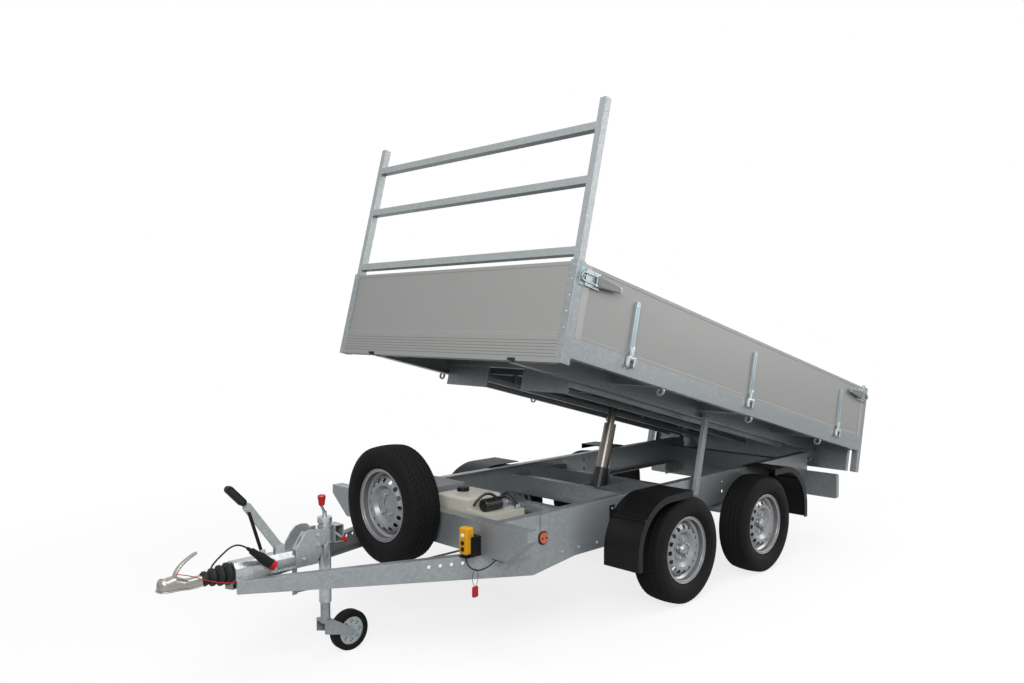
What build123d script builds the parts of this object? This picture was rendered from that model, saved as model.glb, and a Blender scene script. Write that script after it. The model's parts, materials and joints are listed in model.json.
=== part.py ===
"""Tandem-axle tipper trailer, parked on its jockey wheel with the bed part raised.

Millimetres. +X runs to the tail, +Y to the right-hand side and +Z up. The origin lies on the
ground in the middle of the trailer's box.
"""
import os
from math import atan2, cos, degrees, hypot, pi, radians, sin, tan

from build123d import *

# Road wheels, a 195/70 tyre on a 5.5 x 14 steel rim
TYRE_R = 314.5
TYRE_W = 195.0
RIM_FLANGE_R = 194.5
RIM_SEAT_R = 180.0
RIM_HALF_W = 77.0
RIM_WELL_R = 158.0
RIM_SHEET = 4.0
RIM_OFFSET = 30.0
HUB_BORE_R = 33.5
BOLT_CIRCLE_R = 56.0
BOLT_HOLE_R = 7.5
BOLTS = 5
VENT_R = 13.0
VENT_CIRCLE_R = 132.0
VENTS = 16
TRACK_HALF = 730.0
AXLE_SPACING = 890.0
TYRE_TO_RAIL = 32.5

# Bed, measured along itself from its tipping hinge and up from the underside of its front beam
REST_TILT = 14.1
BED_L = 3330.0
BED_W = 1880.0
BED_OVERHANG = 87.0
BED_ABOVE_HINGE = 69.0
WALL_TOP = 501.0
WALL_T = 25.0
FRONT_BEAM_H = 131.0
FRONT_BEAM_T = 45.0
POST_W = 45.0
POST_T = 60.0
POST_RISE = 6.0
SIDE_RAIL_LOW = 36.0
SIDE_RAIL_T = 45.0
FLOOR_T = 4.0
FLOOR_LOW = 112.0
BED_BEAM_W = 60.0
BED_BEAM_LOW = -4.0
CROSS_W = 40.0
CROSS_H = 60.0
REAR_BEAM_LOW = -118.0
REAR_BEAM_T = 40.0
REAR_BEAM_GAP = 35.0
RACK_TOP = 1343.0
RACK_TUBE = 40.0
RACK_BAR_HEIGHTS = (556.0, 916.0, 1197.0)
PANEL_GAP = 2.0
SEAT_GAP = 0.3
SHEET = 4.0

# Chassis, measured along X from the front axle
NOSE_S = -2745.0
BEAM_S = -1346.0
BEAM_DEEP = 70.0
BEAM_HALF_W = 838.0
BEAM_TOP = 659.0
BEAM_LOW = 490.0
BEAM_END_LOW = 608.0
BEAM_CHAMFER = 150.0
RAIL_Y = TRACK_HALF - TYRE_W / 2 - TYRE_TO_RAIL
RAIL_TOP = 655.0
RAIL_H = 200.0
RAIL_FLANGE = 55.0
RAIL_T = 5.0
RAIL_END_S = 1859.0
HINGE_S = 1905.0
HINGE_Z = 600.0
HINGE_PIN_R = 14.0
DRAWBAR_S = -2409.0
DRAWBAR_Y = 60.0
DRAWBAR_BEND_S = -1069.0
DRAWBAR_END_S = -480.0
DRAWBAR_T = 45.0
DRAWBAR_NOSE_LOW = 432.0
DRAWBAR_BEND_LOW = 350.0
DRAWBAR_END_LOW = 390.0
LAMP_BAR_HALF_W = 832.0
LAMP_BAR_Z = (340.0, 515.0)

# Telescopic cylinder, measured along its own axis from its trunnion
TRUNNION_S = 75.0
TRUNNION_Z = 250.0
EYE_A = -1653.0
EYE_W = 40.0
EYE_R = 18.0
BARREL_R = 52.0
BARREL_BELOW = 60.0
BARREL_ABOVE = 440.0
STAGE_R = (44.0, 40.0, 26.0)
STAGE_WALL = 3.5
STAGE_STEP = 16.0
STAGE_LEN = 470.0
STAGE_OUT = 133.0
RUN_GAP = 0.5

# Jockey wheel
JOCKEY_S = -1920.0
JOCKEY_TRAIL = 135.0
JOCKEY_WHEEL_R = 100.0
JOCKEY_WHEEL_W = 60.0
JOCKEY_TUBE_R = 30.0
JOCKEY_LEG_R = 24.0

# Safety prop, hung from the bed beside the left rail
PROP_A = -1503.0
PROP_FROM_RAIL = 27.0
PROP_W = 10.0
PROP_LEN = 500.0
PROP_SECTION = (40.0, 26.0)
PROP_PIN_R = 8.0
PROP_PIN_LEN = 46.0

# Dropside hinges
SIDE_HINGE_Y = 954.0
SIDE_HINGE_W = 128.0
STRAPS_A = (-2745.0, -1548.0, -345.0)
KNUCKLE_R = 9.0
KNUCKLE_LEN = 40.0
KNUCKLE_PIN_R = 5.0
KNUCKLE_EAR_T = 6.0

TILT = radians(REST_TILT)
BED_BEAM_Y = RAIL_Y - BED_BEAM_W / 2
PROP_Y = -RAIL_Y - PROP_FROM_RAIL
WALL_LOW = FRONT_BEAM_H + SEAT_GAP
POST_TOP = WALL_TOP + POST_RISE
FRONT_A = BED_OVERHANG - BED_L
TAIL_S = HINGE_S + BED_OVERHANG * cos(TILT) + (POST_TOP + BED_ABOVE_HINGE) * sin(TILT)
AXLE_X = -(NOSE_S + TAIL_S) / 2


def st(station):
    """X of a station that is measured from the front axle."""
    return AXLE_X + station


HINGE_X = st(HINGE_S)
BED = Plane(
    origin=(HINGE_X + BED_ABOVE_HINGE * sin(TILT), 0, HINGE_Z + BED_ABOVE_HINGE * cos(TILT)),
    x_dir=(cos(TILT), 0, -sin(TILT)),
    z_dir=(sin(TILT), 0, cos(TILT)),
)


def on_bed(plane):
    """A plane of the bed's own frame, turned into the trailer's frame."""
    return Plane(BED.location * plane.location)


def slab(x, y, z, mode=Mode.ADD):
    """Box between two planes along each axis of the current workplane."""
    with Locations((sum(x) / 2, sum(y) / 2, sum(z) / 2)):
        Box(abs(x[1] - x[0]), abs(y[1] - y[0]), abs(z[1] - z[0]), mode=mode)


def write(part, name):
    """Labels a finished piece and writes its file."""
    part.label = name
    export_step(part, f"parts/{name}.step")


UPRIGHT = (Align.CENTER, Align.CENTER, Align.MIN)
os.makedirs("parts", exist_ok=True)

# Chassis rails, channels that open inwards, with a flared guide for the bed on each web
GUIDE_S = -1013.0
GUIDE_W = 60.0
GUIDE_LOW = 566.0
GUIDE_RISE = 26.0
GUIDE_FLARE = 12.0
WEB_HOLE_S = 700.0
WEB_HOLES_Z = (530.0, 600.0)
WEB_HOLE_R = 11.0
with BuildPart() as side_rails:
    with BuildSketch(Plane.YZ.offset(st(BEAM_S + BEAM_DEEP))):
        with Locations((-RAIL_Y + RAIL_FLANGE / 2, RAIL_TOP - RAIL_H / 2)):
            Rectangle(RAIL_FLANGE, RAIL_H)
        with Locations((-RAIL_Y + RAIL_T + RAIL_FLANGE / 2, RAIL_TOP - RAIL_H / 2)):
            Rectangle(RAIL_FLANGE, RAIL_H - 2 * RAIL_T, mode=Mode.SUBTRACT)
    extrude(amount=RAIL_END_S - BEAM_S - BEAM_DEEP)
    with BuildSketch(Plane.YZ.offset(st(GUIDE_S))):
        with BuildLine():
            Polyline((-RAIL_Y, GUIDE_LOW), (-RAIL_Y, RAIL_TOP),
                     (-RAIL_Y - GUIDE_FLARE, RAIL_TOP + GUIDE_RISE))
            offset(amount=RAIL_T, side=Side.LEFT)
        make_face()
    extrude(amount=GUIDE_W)
    with BuildSketch(Plane.XZ.offset(RAIL_Y)):
        with Locations(*[(st(WEB_HOLE_S), z) for z in WEB_HOLES_Z]):
            Circle(WEB_HOLE_R)
    extrude(amount=-RAIL_T, mode=Mode.SUBTRACT)
    mirror(about=Plane.XZ)
write(side_rails.part, "side_rails")

# Front crossbeam, a folded trough with cut-back lower corners, open to the rear
CABLE_HOLE_S = -1328.0
CABLE_HOLE_Y = -612.0
CABLE_HOLE_R = 8.0
BEAM_OUTLINE = (
    (-BEAM_HALF_W, BEAM_TOP),
    (-BEAM_HALF_W, BEAM_END_LOW),
    (-BEAM_HALF_W + BEAM_CHAMFER, BEAM_LOW),
    (BEAM_HALF_W - BEAM_CHAMFER, BEAM_LOW),
    (BEAM_HALF_W, BEAM_END_LOW),
    (BEAM_HALF_W, BEAM_TOP),
)
with BuildPart() as front_crossbeam:
    with BuildSketch(Plane.YZ.offset(st(BEAM_S))):
        Polygon(*BEAM_OUTLINE, align=None)
    extrude(amount=BEAM_DEEP)
    with BuildSketch(Plane.YZ.offset(st(BEAM_S) + SHEET)):
        Polygon(*BEAM_OUTLINE, align=None)
        offset(amount=-SHEET, mode=Mode.REPLACE)
    extrude(amount=BEAM_DEEP, mode=Mode.SUBTRACT)
    with Locations((st(CABLE_HOLE_S), CABLE_HOLE_Y, BEAM_LOW)):
        Cylinder(CABLE_HOLE_R, 3 * SHEET, mode=Mode.SUBTRACT)
write(front_crossbeam.part, "front_crossbeam")

# Drawbars, folded channels that run under the crossbeam and along the rails' undersides
DRAWBAR_RUN = (DRAWBAR_BEND_S - DRAWBAR_S, -RAIL_Y + DRAWBAR_Y)
DRAWBAR_LEN = hypot(*DRAWBAR_RUN)
RAIL_LOW = RAIL_TOP - RAIL_H
DRAWBAR_STEP = DRAWBAR_LEN * (BEAM_S + BEAM_DEEP - DRAWBAR_S) / DRAWBAR_RUN[0]
ANGLED = Plane(
    origin=(st(DRAWBAR_S), -DRAWBAR_Y, 0),
    x_dir=(DRAWBAR_RUN[0], DRAWBAR_RUN[1], 0),
    z_dir=(DRAWBAR_RUN[1], -DRAWBAR_RUN[0], 0),
)
ALONG = Plane(origin=(st(DRAWBAR_BEND_S), -RAIL_Y, 0), x_dir=(1, 0, 0), z_dir=(0, -1, 0))
ANGLED_OUTLINE = (
    (0, DRAWBAR_NOSE_LOW),
    (DRAWBAR_LEN, DRAWBAR_BEND_LOW),
    (DRAWBAR_LEN, RAIL_LOW),
    (DRAWBAR_STEP, RAIL_LOW),
    (DRAWBAR_STEP, BEAM_LOW),
    (0, BEAM_LOW),
)
DRAWBAR_HOLES = (892.0, 950.0, 1008.0, 1066.0)
DRAWBAR_HOLE_Z = 455.0
DRAWBAR_HOLE_R = 9.0
TAIL_RUN = DRAWBAR_END_S - DRAWBAR_BEND_S
TAIL_SLOPE_RUN = 324.0
ALONG_OUTLINE = (
    (0, DRAWBAR_BEND_LOW),
    (TAIL_SLOPE_RUN, DRAWBAR_END_LOW),
    (TAIL_RUN, DRAWBAR_END_LOW),
    (TAIL_RUN, RAIL_LOW),
    (0, RAIL_LOW),
)
with BuildPart() as drawbars:
    for plane, outline in ((ANGLED, ANGLED_OUTLINE), (ALONG, ALONG_OUTLINE)):
        with BuildSketch(plane):
            Polygon(*outline, align=None)
        extrude(amount=-DRAWBAR_T)
    for plane, outline in ((ANGLED, ANGLED_OUTLINE), (ALONG, ALONG_OUTLINE)):
        with BuildSketch(plane.offset(-SHEET)):
            Polygon(*outline, align=None)
            offset(amount=-SHEET, mode=Mode.REPLACE)
        extrude(amount=-DRAWBAR_T, mode=Mode.SUBTRACT)
    with BuildSketch(ANGLED):
        with Locations(*[(along, DRAWBAR_HOLE_Z) for along in DRAWBAR_HOLES]):
            Circle(DRAWBAR_HOLE_R)
    extrude(amount=-2 * SHEET, mode=Mode.SUBTRACT)
    mirror(about=Plane.XZ)
write(drawbars.part, "drawbars")

# Cross members between the rails' webs: station, width along X, lower and upper height
CROSS_INSIDE = RAIL_Y - RAIL_T
CROSS_MEMBERS = (
    (-960.0, 60.0, 470.0, 590.0),
    (-60.0, 50.0, 465.0, 590.0),
    (320.0, 50.0, 465.0, 590.0),
    (1790.0, 60.0, 465.0, 590.0),
)
TRAY_Z = 560.0
TRAY_Y = RAIL_Y - RAIL_FLANGE - 1.0
GUSSET = 130.0
with BuildPart() as cross_members:
    for station, wide, low, high in CROSS_MEMBERS:
        slab((st(station), st(station + wide)), (-CROSS_INSIDE, CROSS_INSIDE), (low, high))
        slab((st(station) + SHEET, st(station + wide)), (-CROSS_INSIDE, CROSS_INSIDE),
             (low + SHEET, high - SHEET), mode=Mode.SUBTRACT)
    slab((st(BEAM_S + BEAM_DEEP), st(CROSS_MEMBERS[0][0])), (-TRAY_Y, TRAY_Y), (TRAY_Z - SHEET, TRAY_Z))
    for station, wide, low, high in CROSS_MEMBERS[1:3]:
        for y in (-CROSS_INSIDE, CROSS_INSIDE):
            inward = GUSSET if y < 0 else -GUSSET
            with BuildSketch(Plane.XY.offset(high - SHEET)):
                Polygon((st(station + wide), y), (st(station + wide) + GUSSET, y),
                        (st(station + wide), y + inward), align=None)
            extrude(amount=SHEET)
write(cross_members.part, "cross_members")

# Cradle that hangs from two cross members and carries the cylinder's trunnion
CRADLE_Y = BARREL_R + 14.0
CRADLE_T = 12.0
TRUNNION_R = 16.0
TRUNNION_X = st(TRUNNION_S)
CRADLE_SPAN = (st(CROSS_MEMBERS[1][0] + CROSS_MEMBERS[1][1]), st(CROSS_MEMBERS[2][0]))
CRADLE_SIDE = (
    (CRADLE_SPAN[0], CROSS_MEMBERS[1][3] - 20.0),
    (CRADLE_SPAN[0], CROSS_MEMBERS[1][2]),
    (TRUNNION_X - 45.0, TRUNNION_Z - 30.0),
    (TRUNNION_X + 45.0, TRUNNION_Z - 30.0),
    (CRADLE_SPAN[1], CROSS_MEMBERS[2][2]),
    (CRADLE_SPAN[1], CROSS_MEMBERS[2][3] - 20.0),
)
with BuildPart() as cylinder_cradle:
    with BuildSketch(Plane.XZ.offset(CRADLE_Y)):
        Polygon(*CRADLE_SIDE, align=None)
        with Locations((TRUNNION_X, TRUNNION_Z)):
            Circle(TRUNNION_R + RUN_GAP, mode=Mode.SUBTRACT)
    extrude(amount=CRADLE_T)
    mirror(about=Plane.XZ)
write(cylinder_cradle.part, "cylinder_cradle")

# Tipping hinge lugs behind the rails' ends, with their pins
LUG_R = 32.0
LUG_T = 14.0
END_PLATE_T = 8.0
with BuildPart() as tip_hinge_brackets:
    with BuildSketch(Plane.XZ.offset(RAIL_Y - RAIL_FLANGE)):
        with Locations((HINGE_X, HINGE_Z)):
            Circle(LUG_R)
        with Locations(((st(RAIL_END_S) + HINGE_X) / 2, HINGE_Z)):
            Rectangle(HINGE_X - st(RAIL_END_S), 2 * LUG_R)
    extrude(amount=LUG_T)
    with Locations(Location((HINGE_X, -RAIL_Y + RAIL_FLANGE - LUG_T, HINGE_Z), (90, 0, 0))):
        Cylinder(HINGE_PIN_R, 50.0, align=UPRIGHT)
    slab((st(RAIL_END_S), st(RAIL_END_S) + END_PLATE_T), (-RAIL_Y, -RAIL_Y + RAIL_FLANGE),
         (LAMP_BAR_Z[1] + PANEL_GAP, RAIL_TOP))
    mirror(about=Plane.XZ)
write(tip_hinge_brackets.part, "tip_hinge_brackets")

# Lamp board across the tail of the rails, a tray that opens to the rear on two plates under the rails
LAMP_BAR_DEEP = 38.0
LAMP_BAR_CORNER_R = 14.0
LAMP_LEG = 120.0
with BuildPart() as lamp_bar:
    with BuildSketch(Plane.YZ.offset(st(RAIL_END_S))):
        with Locations((0, sum(LAMP_BAR_Z) / 2)):
            RectangleRounded(2 * LAMP_BAR_HALF_W, LAMP_BAR_Z[1] - LAMP_BAR_Z[0], LAMP_BAR_CORNER_R)
    extrude(amount=LAMP_BAR_DEEP)
    with BuildSketch(Plane.YZ.offset(st(RAIL_END_S) + SHEET)):
        with Locations((0, sum(LAMP_BAR_Z) / 2)):
            RectangleRounded(2 * (LAMP_BAR_HALF_W - SHEET), LAMP_BAR_Z[1] - LAMP_BAR_Z[0] - 2 * SHEET,
                             LAMP_BAR_CORNER_R - SHEET)
    extrude(amount=LAMP_BAR_DEEP, mode=Mode.SUBTRACT)
    for side in (-1.0, 1.0):
        slab((st(RAIL_END_S) - LAMP_LEG, st(RAIL_END_S)), (side * RAIL_Y, side * (RAIL_Y - RAIL_T)),
             (LAMP_BAR_Z[0] + LAMP_BAR_CORNER_R, RAIL_LOW))
write(lamp_bar.part, "lamp_bar")

# Tail lamps on the board and round side markers on the rails
MARKER_S = -995.0
MARKER_Z = 530.0
MARKER_R = 30.0
MARKER_T = 12.0
TAIL_LAMP_Y = 690.0
TAIL_LAMP_W = 230.0
TAIL_LAMP_H = 130.0
TAIL_LAMP_T = 46.0
TAIL_LAMP_R = 20.0
LENS_TAPER = 8.0
with BuildPart() as lamps:
    with BuildSketch(Plane.YZ.offset(st(RAIL_END_S) + SHEET)):
        with Locations((-TAIL_LAMP_Y, sum(LAMP_BAR_Z) / 2)):
            RectangleRounded(TAIL_LAMP_W, TAIL_LAMP_H, TAIL_LAMP_R)
    extrude(amount=TAIL_LAMP_T, taper=LENS_TAPER)
    with BuildSketch(Plane.XZ.offset(RAIL_Y)):
        with Locations((st(MARKER_S), MARKER_Z)):
            Circle(MARKER_R)
    extrude(amount=MARKER_T, taper=LENS_TAPER)
    mirror(about=Plane.XZ)
write(lamps.part, "lamps")

# Rubber-sprung axles: tube under the rails, trailing arms, stub and brake drum inside each wheel
AXLE_TUBE_R = 40.0
AXLE_LEAD = 150.0
AXLE_TUBE_Z = RAIL_LOW - AXLE_TUBE_R
ARM_Y = (RAIL_Y - 45.0, RAIL_Y + 12.0)
TUBE_INTO_ARM = 10.0
DRUM_R = 115.0
DRUM_INSET = 20.0
DRUM_W = 88.0
DRUM_Y = (TRACK_HALF - DRUM_INSET - DRUM_W, TRACK_HALF - DRUM_INSET)
STUB_R = 25.0
ARM_END_R = 32.0
HUB_R = 62.0
SPIGOT_R = HUB_BORE_R - 1.0
SPIGOT_LEN = 22.0
CAP_LEN = 14.0
CAP_TIP_R = 22.0
BRAKE_ROD_R = 6.0
BRAKE_ROD_Y = 48.0
BRAKE_ROD_S = -2060.0
BRAKE_ROD_Z = 340.0
HUB_FACE_Y = TRACK_HALF + RIM_OFFSET - SEAT_GAP
with BuildPart() as axles:
    for axle in (0.0, AXLE_SPACING):
        x = st(axle)
        with Locations(Location((x - AXLE_LEAD, 0, AXLE_TUBE_Z), (90, 0, 0))):
            Cylinder(AXLE_TUBE_R, 2 * (ARM_Y[0] + TUBE_INTO_ARM))
        with BuildSketch(Plane.XZ.offset(ARM_Y[0])):
            with BuildLine():
                Polyline(
                    (x - AXLE_LEAD, AXLE_TUBE_Z + AXLE_TUBE_R),
                    (x - AXLE_LEAD, AXLE_TUBE_Z - AXLE_TUBE_R),
                    (x, TYRE_R - ARM_END_R),
                    (x, TYRE_R + ARM_END_R),
                    close=True,
                )
            make_face()
            with Locations((x - AXLE_LEAD, AXLE_TUBE_Z)):
                Circle(AXLE_TUBE_R)
            with Locations((x, TYRE_R)):
                Circle(ARM_END_R)
        extrude(amount=ARM_Y[1] - ARM_Y[0])
        for radius, y in (
            (STUB_R, (ARM_Y[1], DRUM_Y[0])),
            (DRUM_R, DRUM_Y),
            (HUB_R, (DRUM_Y[1], HUB_FACE_Y)),
            (SPIGOT_R, (HUB_FACE_Y, HUB_FACE_Y + SPIGOT_LEN)),
        ):
            with Locations(Location((x, -y[0], TYRE_R), (90, 0, 0))):
                Cylinder(radius, y[1] - y[0], align=UPRIGHT)
        with Locations(Location((x, -HUB_FACE_Y - SPIGOT_LEN, TYRE_R), (90, 0, 0))):
            Cone(SPIGOT_R, CAP_TIP_R, CAP_LEN, align=UPRIGHT)
    mirror(about=Plane.XZ)
    with Locations(Location((st(BRAKE_ROD_S), BRAKE_ROD_Y, BRAKE_ROD_Z), (0, 90, 0))):
        Cylinder(BRAKE_ROD_R, -AXLE_LEAD - BRAKE_ROD_S, align=UPRIGHT)
    for s, top in ((BRAKE_ROD_S, BEAM_LOW), (-AXLE_LEAD, AXLE_TUBE_Z)):
        slab((st(s) - 2 * BRAKE_ROD_R, st(s) + 2 * BRAKE_ROD_R),
             (BRAKE_ROD_Y - BRAKE_ROD_R / 2, BRAKE_ROD_Y + BRAKE_ROD_R / 2),
             (BRAKE_ROD_Z - 2 * BRAKE_ROD_R, top))
write(axles.part, "axles")

# Mudguards: the front pair covers the front halves of the front wheels, the rear pair the rear halves
GUARD_TOP = 668.0
GUARD_REACH = 505.0
GUARD_R = 300.0
GUARD_T = 4.0
GUARD_LOW = 290.0
GUARD_OVER_TYRE = 14.0
GUARD_Y = (RAIL_Y, TRACK_HALF + TYRE_W / 2 + GUARD_OVER_TYRE)
GUARD_SKIRT = 38.0
STAY_R = 11.0
STAY_Z = 560.0
STAY_REACH = 436.0
STAY_PLATE = (40.0, 112.0, 5.0)
with BuildPart() as mudguards:
    for centre, sense, start in ((0.0, -1.0, 10.0), (AXLE_SPACING, 1.0, 62.0)):
        x = st(centre)
        turn = (x + sense * (GUARD_REACH - GUARD_R), GUARD_TOP)
        foot = (x + sense * GUARD_REACH, GUARD_TOP - GUARD_R)
        for inner, deep in ((GUARD_Y[0], GUARD_T), (GUARD_Y[1] - GUARD_T, GUARD_SKIRT)):
            with BuildSketch(Plane.XZ.offset(inner)):
                with BuildLine():
                    Line((x + start, GUARD_TOP), turn)
                    RadiusArc(turn, foot, sense * GUARD_R)
                    Line(foot, (foot[0], GUARD_LOW))
                    offset(amount=deep, side=Side.RIGHT if sense > 0 else Side.LEFT)
                make_face()
            extrude(amount=GUARD_Y[1] - inner)
        with Locations(Location((x + sense * STAY_REACH, -GUARD_Y[0], STAY_Z), (90, 0, 0))):
            Cylinder(STAY_R, GUARD_Y[1] - GUARD_Y[0], align=UPRIGHT)
        slab((x + sense * STAY_REACH - STAY_PLATE[0] / 2, x + sense * STAY_REACH + STAY_PLATE[0] / 2),
             (-GUARD_Y[0], -GUARD_Y[0] - STAY_PLATE[2]),
             (STAY_Z - STAY_PLATE[1] / 2, STAY_Z + STAY_PLATE[1] / 2))
    mirror(about=Plane.XZ)
write(mudguards.part, "mudguards")

# Steel rim: rolled barrel with a drop well, and a pressed disc with vents, bolt holes and centre bore
RIM_BARREL = (
    (RIM_HALF_W, RIM_FLANGE_R),
    (RIM_HALF_W - 8.0, RIM_FLANGE_R - 2.0),
    (RIM_HALF_W - 10.0, RIM_SEAT_R),
    (38.0, RIM_SEAT_R - 3.0),
    (24.0, RIM_WELL_R),
    (-24.0, RIM_WELL_R),
    (-38.0, RIM_SEAT_R - 3.0),
    (-RIM_HALF_W + 10.0, RIM_SEAT_R),
    (-RIM_HALF_W + 8.0, RIM_FLANGE_R - 2.0),
    (-RIM_HALF_W, RIM_FLANGE_R),
)
RIM_DISC = (
    (12.0, RIM_WELL_R - RIM_SHEET + 1.0),
    (36.0, 150.0),
    (54.0, 126.0),
    (50.0, 104.0),
    (RIM_OFFSET, 84.0),
    (RIM_OFFSET, HUB_BORE_R),
)


def rim(plane):
    """One rim; the plane's X is the wheel's axle, outwards, and its Y a radius."""
    with BuildPart() as pressed:
        for line in (RIM_BARREL, RIM_DISC):
            with BuildSketch(plane):
                with BuildLine():
                    Polyline(*line)
                    offset(amount=RIM_SHEET, side=Side.LEFT)
                make_face()
            revolve(axis=Axis(plane.origin, plane.x_dir))
        with BuildSketch(Plane(origin=plane.origin, x_dir=plane.y_dir, z_dir=plane.x_dir)):
            with PolarLocations(VENT_CIRCLE_R, VENTS):
                Circle(VENT_R)
            with PolarLocations(BOLT_CIRCLE_R, BOLTS):
                Circle(BOLT_HOLE_R)
        extrude(amount=RIM_HALF_W, mode=Mode.SUBTRACT)
    return pressed.part


TYRE_SECTION_W = TYRE_W / 2
TYRE_SHOULDER = 76.0
TYRE_BEAD = RIM_HALF_W - 11.0


def tyre(plane):
    """One tyre, seated on the rim's bead seats."""
    with BuildPart() as moulded:
        with BuildSketch(plane):
            with BuildLine():
                Line((TYRE_BEAD, RIM_SEAT_R), (TYRE_BEAD, RIM_FLANGE_R))
                ThreePointArc((TYRE_BEAD, RIM_FLANGE_R), (TYRE_SECTION_W - 4.0, RIM_FLANGE_R + 28.0),
                              (TYRE_SECTION_W, RIM_FLANGE_R + 55.0))
                ThreePointArc((TYRE_SECTION_W, RIM_FLANGE_R + 55.0), (TYRE_SECTION_W - 5.0, TYRE_R - 30.0),
                              (TYRE_SHOULDER, TYRE_R - 6.0))
                ThreePointArc((TYRE_SHOULDER, TYRE_R - 6.0), (TYRE_SHOULDER / 2, TYRE_R - 1.5), (0, TYRE_R))
                Polyline((0, TYRE_R), (0, RIM_SEAT_R), (TYRE_BEAD, RIM_SEAT_R))
            make_face()
            mirror(about=Plane.YZ)
        revolve(axis=Axis(plane.origin, plane.x_dir))
    return moulded.part


# The four road wheels and the spare, which stands in front of the crossbeam: name, centre, outward axle
SPARE_Y = 82.0
SPARE_Z = 675.0
SPARE_S = BEAM_S - 6.0 - TYRE_W / 2
WHEELS = (
    ("wheel_front_left", (st(0.0), -TRACK_HALF, TYRE_R), (0, -1, 0)),
    ("wheel_front_right", (st(0.0), TRACK_HALF, TYRE_R), (0, 1, 0)),
    ("wheel_rear_left", (st(AXLE_SPACING), -TRACK_HALF, TYRE_R), (0, -1, 0)),
    ("wheel_rear_right", (st(AXLE_SPACING), TRACK_HALF, TYRE_R), (0, 1, 0)),
    ("spare", (st(SPARE_S), SPARE_Y, SPARE_Z), (-1, 0, 0)),
)
for wheel, centre, outward in WHEELS:
    section = Plane(origin=centre, x_dir=outward, z_dir=(outward[1], -outward[0], 0))
    write(rim(section), f"{wheel}_rim")
    write(tyre(section), f"{wheel}_tyre")

# Spare wheel carrier: plate behind the disc, and an arm bolted to the crossbeam
CARRIER_X = st(SPARE_S) - RIM_OFFSET + SEAT_GAP
CARRIER_R = 75.0
CARRIER_T = 8.0
CARRIER_ARM_HALF = 30.0
CARRIER_ARM_Z = (BEAM_TOP - 90.0, BEAM_TOP - 30.0)
with BuildPart() as spare_holder:
    with Locations(Location((CARRIER_X, SPARE_Y, SPARE_Z), (0, 90, 0))):
        Cylinder(CARRIER_R, CARRIER_T, align=UPRIGHT)
    slab((CARRIER_X, st(BEAM_S)), (SPARE_Y - CARRIER_ARM_HALF, SPARE_Y + CARRIER_ARM_HALF), CARRIER_ARM_Z)
write(spare_holder.part, "spare_holder")

# Pump with its stepped tank and filler cap, and the battery box, on the tray behind the crossbeam
TANK_S = (-1255.0, -1010.0)
TANK_Y = (-480.0, -300.0, -60.0)
TANK_TOP = 728.0
TANK_STEP_TOP = 668.0
TANK_FILLET = 18.0
FILLER_Y = -130.0
FILLER_R = 30.0
FILLER_H = 20.0
with BuildPart() as pump_tank:
    slab((st(TANK_S[0]), st(TANK_S[1])), TANK_Y[1:], (TRAY_Z, TANK_TOP))
    slab((st(TANK_S[0]), st(TANK_S[1])), TANK_Y[:2], (TRAY_Z, TANK_STEP_TOP))
    fillet(pump_tank.edges().filter_by(Axis.Z, reverse=True).group_by(Axis.Z)[-1], TANK_FILLET)
    with Locations((st(sum(TANK_S) / 2), FILLER_Y, TANK_TOP)):
        Cylinder(FILLER_R, FILLER_H, align=UPRIGHT)
write(pump_tank.part, "pump_tank")
BATTERY_S = (-1245.0, -1020.0)
BATTERY_Y = (-20.0, 330.0)
BATTERY_TOP = 745.0
BATTERY_R = 12.0
with BuildPart() as battery_box:
    slab((st(BATTERY_S[0]), st(BATTERY_S[1])), BATTERY_Y, (TRAY_Z, BATTERY_TOP))
    fillet(battery_box.edges().filter_by(Axis.Z), BATTERY_R)
write(battery_box.part, "battery_box")

# Remote control in front of its ribbed holder on the crossbeam's face, with three buttons
REMOTE_Y = (-513.0, -454.0)
REMOTE_S = (-1442.0, -1402.0)
REMOTE_TOP = 640.0
REMOTE_HEAD_S = -1392.0
REMOTE_R = 6.0
HOLDER_TOP = 588.0
SHELF_LOW = BEAM_LOW + 1.0
SHELF_T = 6.0
HOLDER_GROOVES_Z = (512.0, 530.0, 548.0, 566.0)
HOLDER_GROOVE = (8.0, 3.0)
BUTTONS_Z = (530.0, 560.0, 591.0)
BUTTON_R = 10.0
BUTTON_OUT = 5.0
with BuildPart() as remote_holder:
    slab((st(REMOTE_S[1]), st(BEAM_S)), REMOTE_Y, (SHELF_LOW, HOLDER_TOP))
    slab((st(REMOTE_S[0]), st(REMOTE_S[1])), REMOTE_Y, (SHELF_LOW, SHELF_LOW + SHELF_T))
    for z in HOLDER_GROOVES_Z:
        slab((st(REMOTE_S[1]), st(BEAM_S)), (REMOTE_Y[0], REMOTE_Y[0] + HOLDER_GROOVE[1]),
             (z, z + HOLDER_GROOVE[0]), mode=Mode.SUBTRACT)
write(remote_holder.part, "remote_holder")
with BuildPart() as remote_control:
    slab((st(REMOTE_S[0]), st(REMOTE_S[1]) - SEAT_GAP), REMOTE_Y,
         (SHELF_LOW + SHELF_T + SEAT_GAP, REMOTE_TOP))
    slab((st(REMOTE_S[0]), st(REMOTE_HEAD_S)), REMOTE_Y, (HOLDER_TOP + SEAT_GAP, REMOTE_TOP))
    fillet(remote_control.edges().filter_by(Axis.X), REMOTE_R)
    for z in BUTTONS_Z:
        with Locations(Location((st(REMOTE_S[0]) + BUTTON_OUT, sum(REMOTE_Y) / 2, z), (0, -90, 0))):
            Cylinder(BUTTON_R, 2 * BUTTON_OUT, align=UPRIGHT)
write(remote_control.part, "remote_control")

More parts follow.
